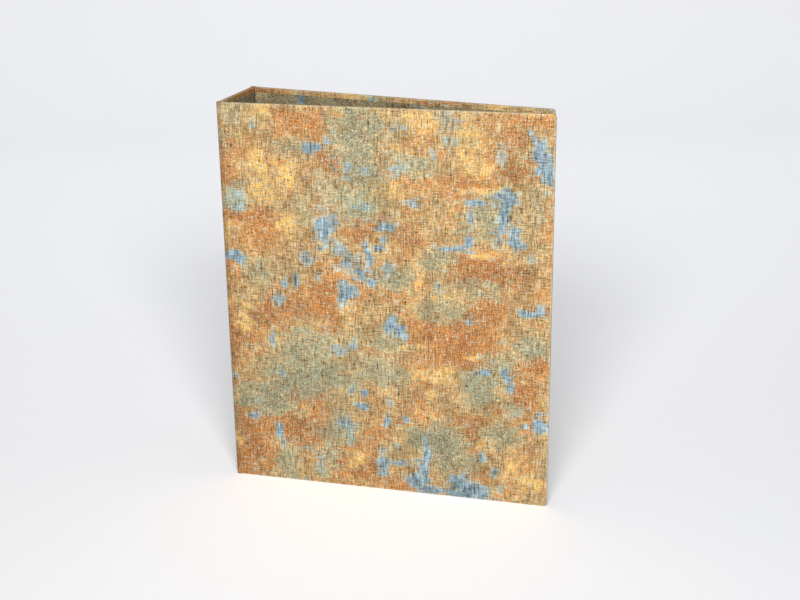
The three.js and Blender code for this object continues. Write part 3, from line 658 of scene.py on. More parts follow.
# A board with the cloth wrapped round it and turned in
def makeCoveredPanel(name, panel, width, isSpine, step):
    size = caseSize
    r = size["edgeRound"]
    corner = size["cornerRound"]
    nearEdge = size["jointReach"]
    farEdge = width - nearEdge if isSpine else width
    across, up = np.meshgrid(
        gridLines(nearEdge, farEdge, step, False, not isSpine),
        gridLines(0, size["height"], step, True, True),
        indexing="ij",
    )
    toFar = np.full(across.shape, 1e3) if isSpine else farEdge - across
    toEnd = np.minimum(up, size["height"] - up)
    inset = np.minimum(toFar, toEnd)
    theta = np.arcsin(np.clip(1 - inset / r, 0, 1))
    drop = r * (1 - np.cos(theta))
    # Square corner rings become round ones
    a = np.clip(corner - toFar, 0, None)
    b = np.clip(corner - toEnd, 0, None)
    both = (a > 0) & (b > 0)
    shrink = np.where(both, np.maximum(a, b) / np.maximum(np.hypot(a, b), 1e-9), 1.0)
    placedAcross = np.where(both, farEdge - corner + a * shrink, across)
    side = np.where(up > size["height"] / 2, 1.0, -1.0)
    middle = size["height"] / 2
    placedUp = np.where(both, middle + side * (middle - corner + b * shrink), up)
    toJoint, toFree = size["swellFade"]
    farFade = (farEdge - across) / toJoint if isSpine else inset / toFree
    fade = smooth((across - nearEdge) / toJoint) * smooth(farFade)
    swell = (size["swell"] + size["swell"] * wave(across, up, size["swellSeeds"][panel])) * fade
    outer = onPanel(panel, placedAcross, drop + swell, placedUp)
    inner = onPanel(panel, placedAcross, size["thickness"] - drop, placedUp)
    # The print runs on over the edges
    wrap = math.pi * r + size["thickness"] - 2 * r
    farFirst = toFar < toEnd
    rolled = np.where(inset < r, r * theta - (r - inset), 0)
    turned = wrap - r + np.where(inset < r, r - r * theta, inset)
    outerAcross = np.where(farFirst, across + rolled, across)
    outerUp = np.where(farFirst, up, up + side * rolled)
    innerAcross = np.where(farFirst, farEdge + turned, across)
    innerUp = np.where(farFirst, up, middle + side * (middle + turned))
    start, direction = sheetStart[panel]
    outerPlace = np.stack([start + direction * outerAcross, outerUp], -1)
    innerPlace = np.stack([start + direction * innerAcross, innerUp], -1)
    # Edge wear and a painted highlight along the rounded edges, weaker on the inside
    wearAndPaintedLight = smooth((size["wearAndHighlightReach"] - inset) / 1.1)
    return makeSheet(name, outer, inner, outerPlace, innerPlace, clothMaterial, wearAndPaintedLight, wearAndPaintedLight * 0.6)


# How much thicker the joint is where the cloth is folded back at the head and tail
def jointFold(up):
    toEnd = np.minimum(up, caseSize["height"] - up)
    return caseSize["clothThickness"] * smooth((caseSize["turnIn"] - toEnd) / caseSize["foldSlope"])


# A strip that turns round one outer corner of the case, at the given depths below its outer face
def makeJointStrip(name, hinge, depths, reach, ends, shift, material):
    first, second = (("spine", "front") if hinge == "front" else ("back", "spine"))
    corner = frontCorner if hinge == "front" else backCorner
    legA = -panels["spine"]["along"] if hinge == "front" else panels["back"]["along"]
    legB = panels["front"]["along"] if hinge == "front" else panels["spine"]["along"]
    inA, inB = panels[first]["inward"], panels[second]["inward"]
    ro = caseSize["jointRound"]
    centre = np.linalg.solve(np.stack([inA, inB]), np.array([ro, ro]))
    reachOfRound = float(centre @ legA)
    up = gridLines(ends, caseSize["height"] - ends, caseSize["coarseStep"], False, False)
    fold = jointFold(up)
    straight = np.linspace(reach, reachOfRound, 5)
    turn = math.acos(float(np.clip(inA @ inB, -1, 1)))
    angles = np.linspace(0, 1, 13)
    spots = np.concatenate([straight, reachOfRound * (1 - 2 * angles[1:-1]), -straight[::-1]])

    def layer(depth):
        rows = []
        for u in straight:
            rows.append(corner + legA * u + inA * depth[:, None])
        for share in angles[1:-1]:
            way = (inA * math.sin((1 - share) * turn) + inB * math.sin(share * turn)) / math.sin(turn)
            rows.append(corner + centre - way * (ro - depth)[:, None])
        for u in straight[::-1]:
            rows.append(corner + legB * u + inB * depth[:, None])
        flat = np.stack(rows)
        height = np.broadcast_to(up, flat.shape[:2])
        return np.concatenate([flat, height[..., None]], axis=-1)

    outer = layer(depths[0](fold))
    inner = layer(depths[1](fold))
    base = 0.0 if hinge == "front" else caseSize["spineWidth"]
    across = base + spots + shift
    place = np.stack(np.broadcast_arrays(across[:, None], up[None, :]), -1)
    # Painted shade: the cloth is darker where it turns round the joint, which makeSheet keeps as values below
    # zero
    wearAndPaintedLight = -smooth((reach - np.abs(spots)) / 1.6)
    wearAndPaintedLight = np.broadcast_to(wearAndPaintedLight[:, None], place.shape[:2]).copy()
    piece = makeSheet(name, outer, inner, place, place, material, wearAndPaintedLight, wearAndPaintedLight)
    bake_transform(piece)
    return piece


frontCloth = makeCoveredPanel("frontCoverCloth", "front", caseSize["coverWidth"], False, caseSize["gridStep"])
backCloth = makeCoveredPanel("backCoverCloth", "back", caseSize["coverWidth"], False, caseSize["plainStep"])
spineCloth = makeCoveredPanel("spineCloth", "spine", caseSize["spineWidth"], True, caseSize["plainStep"])
for piece, body, node in (
    (frontCloth, "front_cover", "front_cover_cloth"),
    (backCloth, "back_cover", "back_cover_cloth"),
    (spineCloth, "spine", "spine_cloth"),
):
    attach(piece, body)
    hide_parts(node)
for hinge in ("front", "back"):
    skin = makeJointStrip(
        hinge + "JointCloth", hinge, (lambda fold: 0 * fold, lambda fold: caseSize["clothThickness"] + fold),
        caseSize["jointReach"], 0.0, 0.0, clothMaterial,
    )
print("cloth pieces made")


liningLook = {
    "outerDepth": 3.35,
    "innerDepth": 3.65,
    "jointDepth": 0.45,
    "thickness": 0.3,
    "footReach": 4.2,  # where the flexing strip in the joint takes over
    "faceReach": 4.66,
    "footRound": 0.4,
    "edgeDepths": (1.6, 2.3),  # grid lines down the board's edge
    "bend": 0.7,  # where it turns on to the face
    "sinkSlope": 1.6,  # over how much length it sinks behind the edge of a turn-in
    "gridStep": 2.2,
    "sheetShift": 1400.0,  # the lining is cut from another part of the printed sheet
}


# The lining over the turn-ins, down over the edge of the board at each joint
def makeLiningPanel(name, panel, width, isSpine, step):
    look = liningLook
    inset = caseSize["liningInset"]
    thick = look["thickness"]
    up = gridLines(inset, caseSize["height"] - inset, step, False, False)
    fold = jointFold(up)
    # One side's way from the joint up to the face, as (across, depth) of the seen and the glued surface
    seen, glued = [], []
    foot = look["jointDepth"] + thick
    seen.append((look["footReach"], foot, 1.0))
    glued.append((look["footReach"], look["jointDepth"], 1.0))
    r = look["footRound"]
    for a in np.radians((-60, -30, 0)):
        for rows, radius in ((seen, r), (glued, r + thick)):
            rows.append((look["faceReach"] - r + radius * math.cos(a), foot + r + radius * math.sin(a), 1.0))
    for d in look["edgeDepths"]:
        seen.append((look["faceReach"], d, 0.5))
        glued.append((look["faceReach"] + thick, d, 0.5))
    bend = look["bend"]
    nearRun = look["faceReach"] + bend
    for a in np.radians((180, 157, 135, 112, 90)):
        for rows, radius in ((seen, bend), (glued, bend - thick)):
            depth = look["innerDepth"] - bend + radius * math.sin(a)
            rows.append((nearRun + radius * math.cos(a), depth, 0.0))
    if isSpine:
        lines = gridLines(nearRun, width - nearRun, step, False, False)[1:-1]
    else:
        lines = gridLines(nearRun, width - inset, step, False, False)[1:]
    ways = []
    for rows, depth in ((seen, look["innerDepth"]), (glued, look["outerDepth"])):
        farSide = [(width - a, d, f) for a, d, f in reversed(rows)] if isSpine else []
        ways.append(np.array(rows + [(v, depth, 0.0) for v in lines] + farSide))
    seen, glued = ways
    toFree = np.minimum(up, caseSize["height"] - up)[None, :] * np.ones((len(seen), 1))
    if not isSpine:
        toFree = np.minimum(toFree, width - seen[:, :1])
    sink = caseSize["turnInShows"] * smooth((toFree - caseSize["turnIn"]) / look["sinkSlope"])
    sink = sink * smooth((seen[:, 1:2] - 2.5) / 1.0)
    surfaces = []
    for rows in (seen, glued):
        across = np.broadcast_to(rows[:, :1], (len(rows), len(up)))
        depth = rows[:, 1:2] + rows[:, 2:3] * fold[None, :] - sink
        height = np.broadcast_to(up, across.shape)
        surfaces.append(onPanel(panel, across, depth, height))
    steps = np.hypot(np.diff(seen[:, 0]), np.diff(seen[:, 1]))
    run = look["footReach"] + np.concatenate([[0], np.cumsum(steps)])
    start, direction = sheetStart[panel]
    across = start + direction * run + look["sheetShift"]
    place = np.stack(np.broadcast_arrays(across[:, None], up[None, :]), -1)
    return makeSheet(name, surfaces[0], surfaces[1], place, place, liningMaterial)


frontLining = makeLiningPanel("frontLining", "front", caseSize["coverWidth"], False, liningLook["gridStep"])
backLining = makeLiningPanel("backLining", "back", caseSize["coverWidth"], False, liningLook["gridStep"])
spineLining = makeLiningPanel("spineLining", "spine", caseSize["spineWidth"], True, liningLook["gridStep"])
for piece, body, node in (
    (frontLining, "front_cover", "front_lining"),
    (backLining, "back_cover", "back_lining"),
    (spineLining, "spine", "spine_lining"),
):
    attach(piece, body)
    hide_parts(node)
for hinge in ("front", "back"):
    strip = makeJointStrip(
        hinge + "JointLining", hinge, (
            lambda fold: liningLook["jointDepth"] + fold,
            lambda fold: liningLook["jointDepth"] + liningLook["thickness"] + fold,
        ),
        liningLook["footReach"], caseSize["liningInset"], liningLook["sheetShift"], liningMaterial,
    )
print("linings made")


boardLook = {
    "dark": paint(150, 143, 130),
    "light": paint(182, 176, 162),
    "roughness": 0.92,
    "fibreHeight": 0.05,  # mm
}


# Raw greyboard inside the covers
def makeBoardMaterial():
    material, tree, shader = startMaterial("greyboard")
    place = tree.nodes.new("ShaderNodeTexCoord").outputs["Object"]
    place = addVectorMath(tree, "MULTIPLY", place, (1000, 1000, 1000))
    fibre = addNoise(tree, place, (1.2, 1.2), 4, 0.7)
    setInput(tree, shader.inputs["Base Color"], addMix(tree, fibre, boardLook["dark"], boardLook["light"]))
    shader.inputs["Roughness"].default_value = boardLook["roughness"]
    bump = tree.nodes.new("ShaderNodeBump")
    bump.inputs["Distance"].default_value = boardLook["fibreHeight"] * mm
    setInput(tree, bump.inputs["Height"], fibre)
    setInput(tree, shader.inputs["Normal"], bump.outputs["Normal"])
    return material


steelLook = {
    "roughness": 0.12,  # with nothing on it; lines, scratches and haze each add their share
    "lineRoughness": 0.16,
    "scratchRoughness": 0.12,
    "hazeRoughness": 0.1,
    "lineHeight": 0.02,  # mm
    "lineStrength": 0.25,
    "bright": paint(214, 214, 216),
    "dull": paint(188, 189, 193),
}


# Bright nickel plate with faint draw lines along the height, small scratches and a little haze
def makeSteelMaterial(name, lineSize):
    material, tree, shader = startMaterial(name)
    place = tree.nodes.new("ShaderNodeTexCoord").outputs["Object"]
    place = addVectorMath(tree, "MULTIPLY", place, (1000, 1000, 1000))
    stretched = addVectorMath(tree, "MULTIPLY", place, (1 / lineSize[0], 1 / lineSize[0], 1 / lineSize[1]))
    lines = addNoise(tree, stretched, (1, 1), 3, 0.6)
    haze = addNoise(tree, place, (14, 14), 3, 0.6, (3, 8, 0))
    scratch = addNoise(tree, addVectorMath(tree, "MULTIPLY", place, (3.1, 2.4, 0.16)), (1, 1), 2, 0.8)
    scratchMask = addStep(tree, scratch, 0.68, 0.76)
    setInput(tree, shader.inputs["Base Color"], addMix(tree, haze, steelLook["bright"], steelLook["dull"]))
    shader.inputs["Metallic"].default_value = 1.0
    rough = addMath(tree, "MULTIPLY_ADD", lines, steelLook["lineRoughness"], steelLook["roughness"])
    rough = addMath(tree, "MULTIPLY_ADD", scratchMask, steelLook["scratchRoughness"], rough)
    rough = addMath(tree, "MULTIPLY_ADD", haze, steelLook["hazeRoughness"], rough)
    setInput(tree, shader.inputs["Roughness"], rough)
    bump = tree.nodes.new("ShaderNodeBump")
    bump.inputs["Strength"].default_value = steelLook["lineStrength"]
    bump.inputs["Distance"].default_value = steelLook["lineHeight"] * mm
    setInput(tree, bump.inputs["Height"], lines)
    setInput(tree, shader.inputs["Normal"], bump.outputs["Normal"])
    return material


boardMaterial = makeBoardMaterial()
steelMaterial = makeSteelMaterial("nickelSteel", (0.5, 18))
wireMaterial = makeSteelMaterial("nickelWire", (2.5, 2.5))


# Sizes of the ring mechanism, as in the CAD model
ringSize = {
    "wireRadius": 1.9,
    "places": (280.0, 200.0, 120.0, 40.0),
    "railEdge": 13.1,
    "railEdgeHeight": 4.0,
    "railTilt": 7.0,
    "wireAboveRail": 2.8,
    "footAlong": 3.4,
    "footEnd": 7.7,
    "reach": 39.0,
    "height": 44.0,
    "bend": 5.0,
    "tipOffset": 9.5,
    "tipShift": 0.15,  # towards the straight half
    "curveStart": 229.0,  # degrees round the curved half where its lead from the rail ends
    "footRise": 0.4,
    "wireSides": 20,
    "pegRadius": 1.2,
    "pegAlong": 6.5,  # where the staked peg goes through the rail
    "pegFoot": -0.75,
    "pegTaper": 0.45,
    "pegSides": 20,
}
housingSize = {
    "length": 276.0,
    "halfWidth": 14.0,  # to the middle of the sheet
    "shoulder": 4.6,
    "crownRise": 3.9,
    "rim": 2.5,
    "rimHeight": 0.55,  # to the middle of the sheet
    "rimRound": 0.6,
    "sheet": 1.0,
    "softEdge": 0.16,
    "slotFrom": 4.0,
    "slotFloor": 3.0,
    "slotHalf": 2.5,
    "mouthHalf": 8.0,
    "mouthStart": 128.6,
    "crownSteps": 40,
}
leverSize = {
    "pinFromMiddle": 133.0,
    "pinHeight": 5.0,
    "reach": 9.0,
    "rise": 14.5,
    "halfWidth": 6.5,
    "thickness": 1.8,
    "bow": 0.75,  # of the reach, or of the rise
    "waist": 0.45,
    "steps": 25,
    "stepsAcross": 9,
    "padThicker": 0.45,
    "padNarrower": 2.6,
    "sideWaist": 0.5,
    "padHollow": 0.35,
    "thickenFrom": (0.9, 0.08),  # share of the blade where it starts, and over how much it comes on
    "narrowFrom": (0.86, 0.14),
    "hollowFrom": (0.45, 0.4),
    "rimThinner": 0.35,
    "forkBack": -5.2,
    "forkHalf": 2.0,
    "forkTongues": ((-1.204, -0.204), (-4.548, -3.548)),
    "forkStem": 1.45,
    "pinHalf": 14.5,
    "pinRadius": 1.2,
    "pinTaper": 0.3,
    "hubBore": 1.5,
    "hubRadius": 2.9,
    "hubTaper": 0.3,
}
rivetSize = {
    "places": (240.0, 80.0),
    "innerHead": 3.6,
    "outerHead": 5.0,
    "rise": 1.2,
    "innerBase": 9.05,  # on the housing's crown
    "outerBase": -3.7,  # on the back cover's outside
    "shank": 2.0,
    "collar": 3.0,
    "collarEnds": (0.05, 7.7),
}

railAxes = [joints[name]["pos_m"][0] for name in ("spine_side_rings_snap", "fore_edge_side_rings_snap")]
middleX = sum(railAxes) / 2 / mm
baseY = backCorner[1] - liningLook["innerDepth"]
middleZ = caseSize["height"] / 2


# A point of the mechanism: x along the back cover, y away from it, z up
def onBase(points):
    points = np.asarray(points, float)
    return np.stack([middleX + points[..., 0], baseY - points[..., 1], points[..., 2]], -1)


# One piece from several (points, faces) parts; a bevel is a width in mm
def makeSolid(name, parts, material, bevel=0.0):
    points, faces, count = [], [], 0
    for partPoints, partFaces in parts:
        points += [tuple(np.asarray(p) * mm) for p in partPoints]
        faces += [tuple(int(i) + count for i in face) for face in partFaces]
        count += len(partPoints)
    mesh = bpy.data.meshes.new(name)
    mesh.from_pydata(points, [], faces)
    worker = bmesh.new()
    worker.from_mesh(mesh)
    bmesh.ops.remove_doubles(worker, verts=worker.verts, dist=1e-7)
    bmesh.ops.recalc_face_normals(worker, faces=worker.faces)
    if bevel:
        sharp = [e for e in worker.edges if e.is_manifold and e.calc_face_angle(0) > math.radians(35)]
        bmesh.ops.bevel(
            worker, geom=sharp, offset=bevel * mm, segments=2, profile=0.5,
            affect="EDGES", clamp_overlap=True,
        )
    worker.to_mesh(mesh)
    worker.free()
    mesh.polygons.foreach_set("use_smooth", [True] * len(mesh.polygons))
    mesh.set_sharp_from_angle(angle=math.radians(40))
    mesh.materials.append(material)
    piece = bpy.data.objects.new(name, mesh)
    bpy.context.scene.collection.objects.link(piece)
    return piece


# Round wire along points in the plane across the rings, with eased ends
def wirePart(path, height):
    size = ringSize
    path = np.array(path, float)
    along = np.gradient(path, axis=0)
    along /= np.linalg.norm(along, axis=1)[:, None]
    first, last = along[0], along[-1]
    ease = ((0, 0.62), (0.22, 0.9), (0.5, 1.0))  # how far from an end, and the share of the radius there
    stations = [(path[0] + first * d, first, share) for d, share in ease]
    stations += [(p, a, 1.0) for p, a in zip(path[1:-1], along[1:-1])]
    stations += [(path[-1] - last * d, last, share) for d, share in reversed(ease)]
    turns = np.linspace(0, 2 * math.pi, size["wireSides"], endpoint=False)
    rows = []
    for p, a, share in stations:
        side = np.array([-a[1], a[0]])
        radius = size["wireRadius"] * share
        flat = p + np.outer(np.cos(turns) * radius, side)
        rows.append(np.column_stack([flat, height + np.sin(turns) * radius]))
    points = onBase(np.concatenate(rows))
    n, m = len(rows), size["wireSides"]
    faces = [
        (i * m + k, i * m + (k + 1) % m, (i + 1) * m + (k + 1) % m, (i + 1) * m + k)
        for i in range(n - 1) for k in range(m)
    ]
    faces += [tuple(range(m))[::-1], tuple(range((n - 1) * m, n * m))]
    return points, faces


# A turned part from (radius, along) pairs, about an axis through a place
def turnedPart(profile, place, axis, sides=32):
    axis = np.array(axis, float)
    other = np.array([0.0, 0.0, 1.0]) if abs(axis[2]) < 0.5 else np.array([1.0, 0.0, 0.0])
    third = np.cross(axis, other)
    points, faces = [], []
    for radius, along in profile:
        for k in range(sides):
            a = 2 * math.pi * k / sides
            outwards = math.cos(a) * other + math.sin(a) * third
            points.append(np.array(place) + axis * along + radius * outwards)
    for i in range(len(profile) - 1):
        for k in range(sides):
            n = (k + 1) % sides
            faces.append((i * sides + k, i * sides + n, (i + 1) * sides + n, (i + 1) * sides + k))
    return points, faces


def boxPart(low, high, place):
    corners = [(x, y, z) for x in (low[0], high[0]) for y in (low[1], high[1]) for z in (low[2], high[2])]
    faces = [(0, 1, 3, 2), (4, 6, 7, 5), (0, 4, 5, 1), (2, 3, 7, 6), (0, 2, 6, 4), (1, 5, 7, 3)]
    return [place(c) for c in corners], faces


def arcPoints(x, y, radius, start, stop, count):
    return [
        (x + radius * math.cos(math.radians(a)), y + radius * math.sin(math.radians(a)))
        for a in np.linspace(start, stop, count)
    ]


def bezierPoints(controls, shares):
    t = np.asarray(shares)[:, None]
    a, b, c, d = (np.asarray(point, float) for point in controls)
    return (1 - t) ** 3 * a + 3 * t * (1 - t) ** 2 * b + 3 * t * t * (1 - t) * c + t ** 3 * d


# A point given along and above the tilted rail, in the plane across the rings
def onRail(along, above):
    a = math.radians(-ringSize["railTilt"])
    x = along * math.cos(a) - above * math.sin(a)
    y = along * math.sin(a) + above * math.cos(a)
    return np.array([x - ringSize["railEdge"], y + ringSize["railEdgeHeight"]])


# The curved half is a lead from the rail and an arc, the straight half a post with two bends
def makeRings():
    size = ringSize
    footEnd = onRail(size["footEnd"], size["wireAboveRail"])
    footStart = onRail(size["footAlong"], size["wireAboveRail"])
    radius = size["reach"] / 2 + 1
    centre = (radius - size["reach"] / 2, size["height"] - radius)
    sweep = arcPoints(*centre, radius, size["curveStart"], 90, 34)
    start = math.radians(size["curveStart"])
    heading = np.array([math.sin(start), -math.cos(start)])
    ease = np.linalg.norm(footStart - sweep[0]) / 3
    outwards = (footStart - footEnd) / np.linalg.norm(footStart - footEnd)
    curveStart = np.array(sweep[0])
    controls = [footStart, footStart + outwards * ease, curveStart - heading * ease, curveStart]
    lead = bezierPoints(controls, np.linspace(0, 1, 9)[:-1])
    curved = [footEnd, *lead, *sweep, (size["tipOffset"] - size["tipShift"], size["height"])]
    post = -size["reach"] / 2 + size["bend"]
    floor = footStart[1] + size["footRise"]
    straight = [footEnd, footStart, *arcPoints(post, floor + size["bend"], size["bend"], 270, 180, 10)]
    straight += arcPoints(post, size["height"] - size["bend"], size["bend"], 180, 90, 10)
    straight.append((-size["tipOffset"] - size["tipShift"], size["height"]))
    pegTop = onRail(size["pegAlong"], size["wireAboveRail"])
    pegFoot = onRail(size["pegAlong"], size["pegFoot"])
    length = float(np.linalg.norm(pegFoot - pegTop))
    down = (pegFoot - pegTop) / length
    pegRadius, taper = size["pegRadius"], size["pegTaper"]
    peg = [(0, 0), (pegRadius, 0), (pegRadius, length - taper), (pegRadius - 0.15, length - 0.1), (0, length)]
    for index, place in enumerate(size["places"]):
        for kind, path, flip, body in (
            ("curved", curved, 1, "spine_side_rings"),
            ("straight", straight, -1, "fore_edge_side_rings"),
        ):
            bent = [(flip * p[0], p[1]) for p in path]
            origin = onBase((flip * pegTop[0], pegTop[1], place))
            axis = np.array([flip * down[0], -down[1], 0.0])
            parts = [wirePart(bent, place), turnedPart(peg, origin, axis, size["pegSides"])]
            ring = makeSolid(f"{kind}RingHalf{index + 1}", parts, wireMaterial)
            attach(ring, body)
            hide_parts(f"{kind}_ring_half_{index + 1}")


# The sprung steel crown: a bent sheet with slots for the rings and a mouth at each end for the lever
def makeHousing():
    size = housingSize
    half, shoulder = size["halfWidth"], size["shoulder"]
    low, r = size["rimHeight"], size["rimRound"]
    side = [(-half + size["rim"], low), (-half + r, low)]
    side += arcPoints(-half + r, low + r, r, 247, 180, 4) + [(-half, size["slotFloor"])]
    breaks = [-size["mouthHalf"], -size["slotFrom"], size["slotFrom"], size["mouthHalf"]]
    steps = size["crownSteps"]
    crownX = sorted(set([-half * math.cos(math.pi * k / steps) for k in range(steps + 1)] + breaks))
    crown = [(x, shoulder + size["crownRise"] * math.sqrt(max(0.0, 1 - (x / half) ** 2))) for x in crownX]
    profile = side + crown + [(-x, y) for x, y in reversed(side)]
    ends = size["length"] / 2
    lines = {-ends, ends, -size["mouthStart"], size["mouthStart"]}
    slots = [place - middleZ for place in ringSize["places"]]
    for slot in slots:
        for gap in (size["slotHalf"], size["slotHalf"] + 0.8, size["slotHalf"] + 4):
            lines |= {slot - gap, slot + gap}
    lines = sorted(lines)
    points = [onBase((x, y, z + middleZ)) for z in lines for x, y in profile]
    count = len(profile)
    faces = []
    for j in range(len(lines) - 1):
        middle = (lines[j] + lines[j + 1]) / 2
        atRing = min(abs(middle - slot) for slot in slots) < size["slotHalf"]
        for i in range(count - 1):
            x = (profile[i][0] + profile[i + 1][0]) / 2
            y = (profile[i][1] + profile[i + 1][1]) / 2
            if atRing and abs(x) > size["slotFrom"] and y > size["slotFloor"]:
                continue
            if abs(middle) > size["mouthStart"] and abs(x) < size["mouthHalf"] and y > shoulder:
                continue
            faces.append((j * count + i, j * count + i + 1, (j + 1) * count + i + 1, (j + 1) * count + i))
    housing = makeSolid("ringHousing", [(points, faces)], steelMaterial)
    thick = housing.modifiers.new("sheet", "SOLIDIFY")
    thick.thickness = size["sheet"] * mm
    thick.offset = 0.0
    soften = housing.modifiers.new("soften", "BEVEL")
    soften.width = size["softEdge"] * mm
    soften.segments = 2
    soften.limit_method = "ANGLE"
    soften.angle_limit = math.radians(50)
    soften.harden_normals = True
    flatten = housing.modifiers.new("flatten", "WEIGHTED_NORMAL")
    flatten.weight = 90
    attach(housing, "back_cover")
    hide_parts("ring_housing")


# A curved blade with a thumb pad, a hub round its pin and a fork that takes the ends of the rails
def makeLever(end, direction):
    size = leverSize
    pin = (middleX, baseY - size["pinHeight"], middleZ + direction * size["pinFromMiddle"])

    def place(point):
        out, away, across = point
        return np.array([pin[0] + across, pin[1] - away, pin[2] + direction * out])

    reach, rise, n, m = size["reach"], size["rise"], size["steps"], size["stepsAcross"]
    bow, waist = size["bow"], size["waist"]
    share = np.linspace(0, 1, n)

    def comeOn(key):
        begin, over = size[key]
        return smooth((share - begin) / over)

    rows = bezierPoints([(0, 0), (bow * reach, 0), (waist * reach, bow * rise), (reach, rise)], share)
    along = np.gradient(rows, axis=0)
    along /= np.linalg.norm(along, axis=1)[:, None]
    normal = np.column_stack([-along[:, 1], along[:, 0]])
    halfThick = size["thickness"] / 2 + size["padThicker"] * comeOn("thickenFrom")
    widths = size["halfWidth"] - size["padNarrower"] * comeOn("narrowFrom") ** 2
    widths -= size["sideWaist"] * np.sin(share * math.pi)
    spread = np.linspace(-1, 1, m)
    dish = size["padHollow"] * comeOn("hollowFrom")  # the thumb pad is a little hollow
    sheets = []
    for sign in (1, -1):
        grid = []
        for k in range(n):
            for v in spread:
                lift = halfThick[k] * sign * (1 - size["rimThinner"] * abs(v) ** 6) + dish[k] * v * v
                spot = rows[k] + normal[k] * lift
                grid.append(place((spot[0], spot[1], v * widths[k])))
        sheets.append(grid)
    blade = (sheets[0] + sheets[1], sheetFaces(n, m).tolist())
    w, bore, hubRadius, taper = (size[key] for key in ("halfWidth", "hubBore", "hubRadius", "hubTaper"))
    hub = [(bore, -w), (hubRadius - taper, -w), (hubRadius, -w + taper)]
    hub += [(radius, -along) for radius, along in reversed(hub)] + [(bore, -w)]
    parts = [blade, turnedPart(hub, pin, (1, 0, 0))]
    lever = makeSolid(end + "Lever", parts, steelMaterial)
    upper, lower = size["forkTongues"]
    back, wide, stem = size["forkBack"], size["forkHalf"], size["forkStem"]
    # The stem keeps just inside the tongues' faces, so that no two faces lie on each other
    fork = makeSolid(end + "LeverFork", [
        boxPart((back, upper[0], -wide), (0, upper[1], wide), place),
        boxPart((back, lower[0], -wide), (stem, lower[1], wide), place),
        boxPart((-stem, lower[0] + 0.008, -wide + 0.01), (stem, 0, wide - 0.01), place),
    ], steelMaterial, 0.25)
    for piece in (lever, fork):
        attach(piece, end + "_lever")
        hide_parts(end + "_lever")
    p, pinRadius, taper = size["pinHalf"], size["pinRadius"], size["pinTaper"]
    shaft = [(0, -p), (pinRadius - taper, -p), (pinRadius, -p + taper)]
    shaft += [(radius, -along) for radius, along in reversed(shaft)]
    rod = makeSolid(end + "LeverPin", [turnedPart(shaft, pin, (1, 0, 0), 24)], steelMaterial)
    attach(rod, "back_cover")
    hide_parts(end + "_lever_pin")


# A shank with a domed head at each end and a collar inside the boards
def makeRivet(name, node, place):
    size = rivetSize
    inner, outer, shank, collar = (size[key] for key in ("innerBase", "outerBase", "shank", "collar"))

    def head(radius, base, rise):
        rows = [(radius * math.cos(a), base + rise * math.sin(a)) for a in np.linspace(0, math.pi / 2, 9)]
        rows[-1] = (0, base + rise)
        return rows

    low, high = size["collarEnds"]
    profile = head(size["outerHead"], outer, -size["rise"])[::-1]
    profile += [(shank, outer), (shank, low), (collar, low), (collar, high), (shank, high), (shank, inner)]
    profile += head(size["innerHead"], inner, size["rise"])
    origin = onBase((0, 0, place))
    rivet = makeSolid(name, [turnedPart(profile, origin, (0, -1, 0), 40)], steelMaterial)
    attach(rivet, "back_cover")
    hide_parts(node)


makeRings()
makeHousing()
makeLever("top", 1)
makeLever("bottom", -1)
makeRivet("upperRivet", "upper_rivet", rivetSize["places"][0])
makeRivet("lowerRivet", "lower_rivet", rivetSize["places"][1])
print("ring mechanism made")


# What no piece replaces keeps its own mesh: the boards and the two rails
for name, node in frame["nodes"].items():
    if node.hide_render:
        continue
    node.data.materials.clear()
    node.data.materials.append(boardMaterial if name.endswith("board") else steelMaterial)
print("frame nodes finished")


# Studio: a pale sweep, two soft lamps beside the camera, and an even pale surround
studio = {
    "floor": paint(241, 241, 243),
    "surround": (0.95, 0.945, 0.95, 1.0),
    "surroundStrength": 0.19,
    "sweepTurn": 26.5,  # degrees
    "sweepNear": -3.0,  # metres, from its front edge to where it starts to rise
    "sweepFar": 1.4,
    "sweepRadius": 2.0,
    "sweepTop": 5.0,
    "sweepHalfWidth": 6.0,
    "floorGrain": paint(239, 239, 241),
    "floorTint": (0.99, 1.0, 1.005),  # takes off the warm light that the cover throws
    "floorGain": (1.18, 3.65),  # how much paler the floor looks to the camera, near and far
    "floorRamp": (-0.6, 1.45),  # metres, where near ends and far begins
    "lampWatts": 10.3,
    "lampSize": 0.5,
    "lampDistance": 1.6,
    "lampElevation": 31.0,  # degrees
    "lampAzimuths": (17.0, 35.0),
}


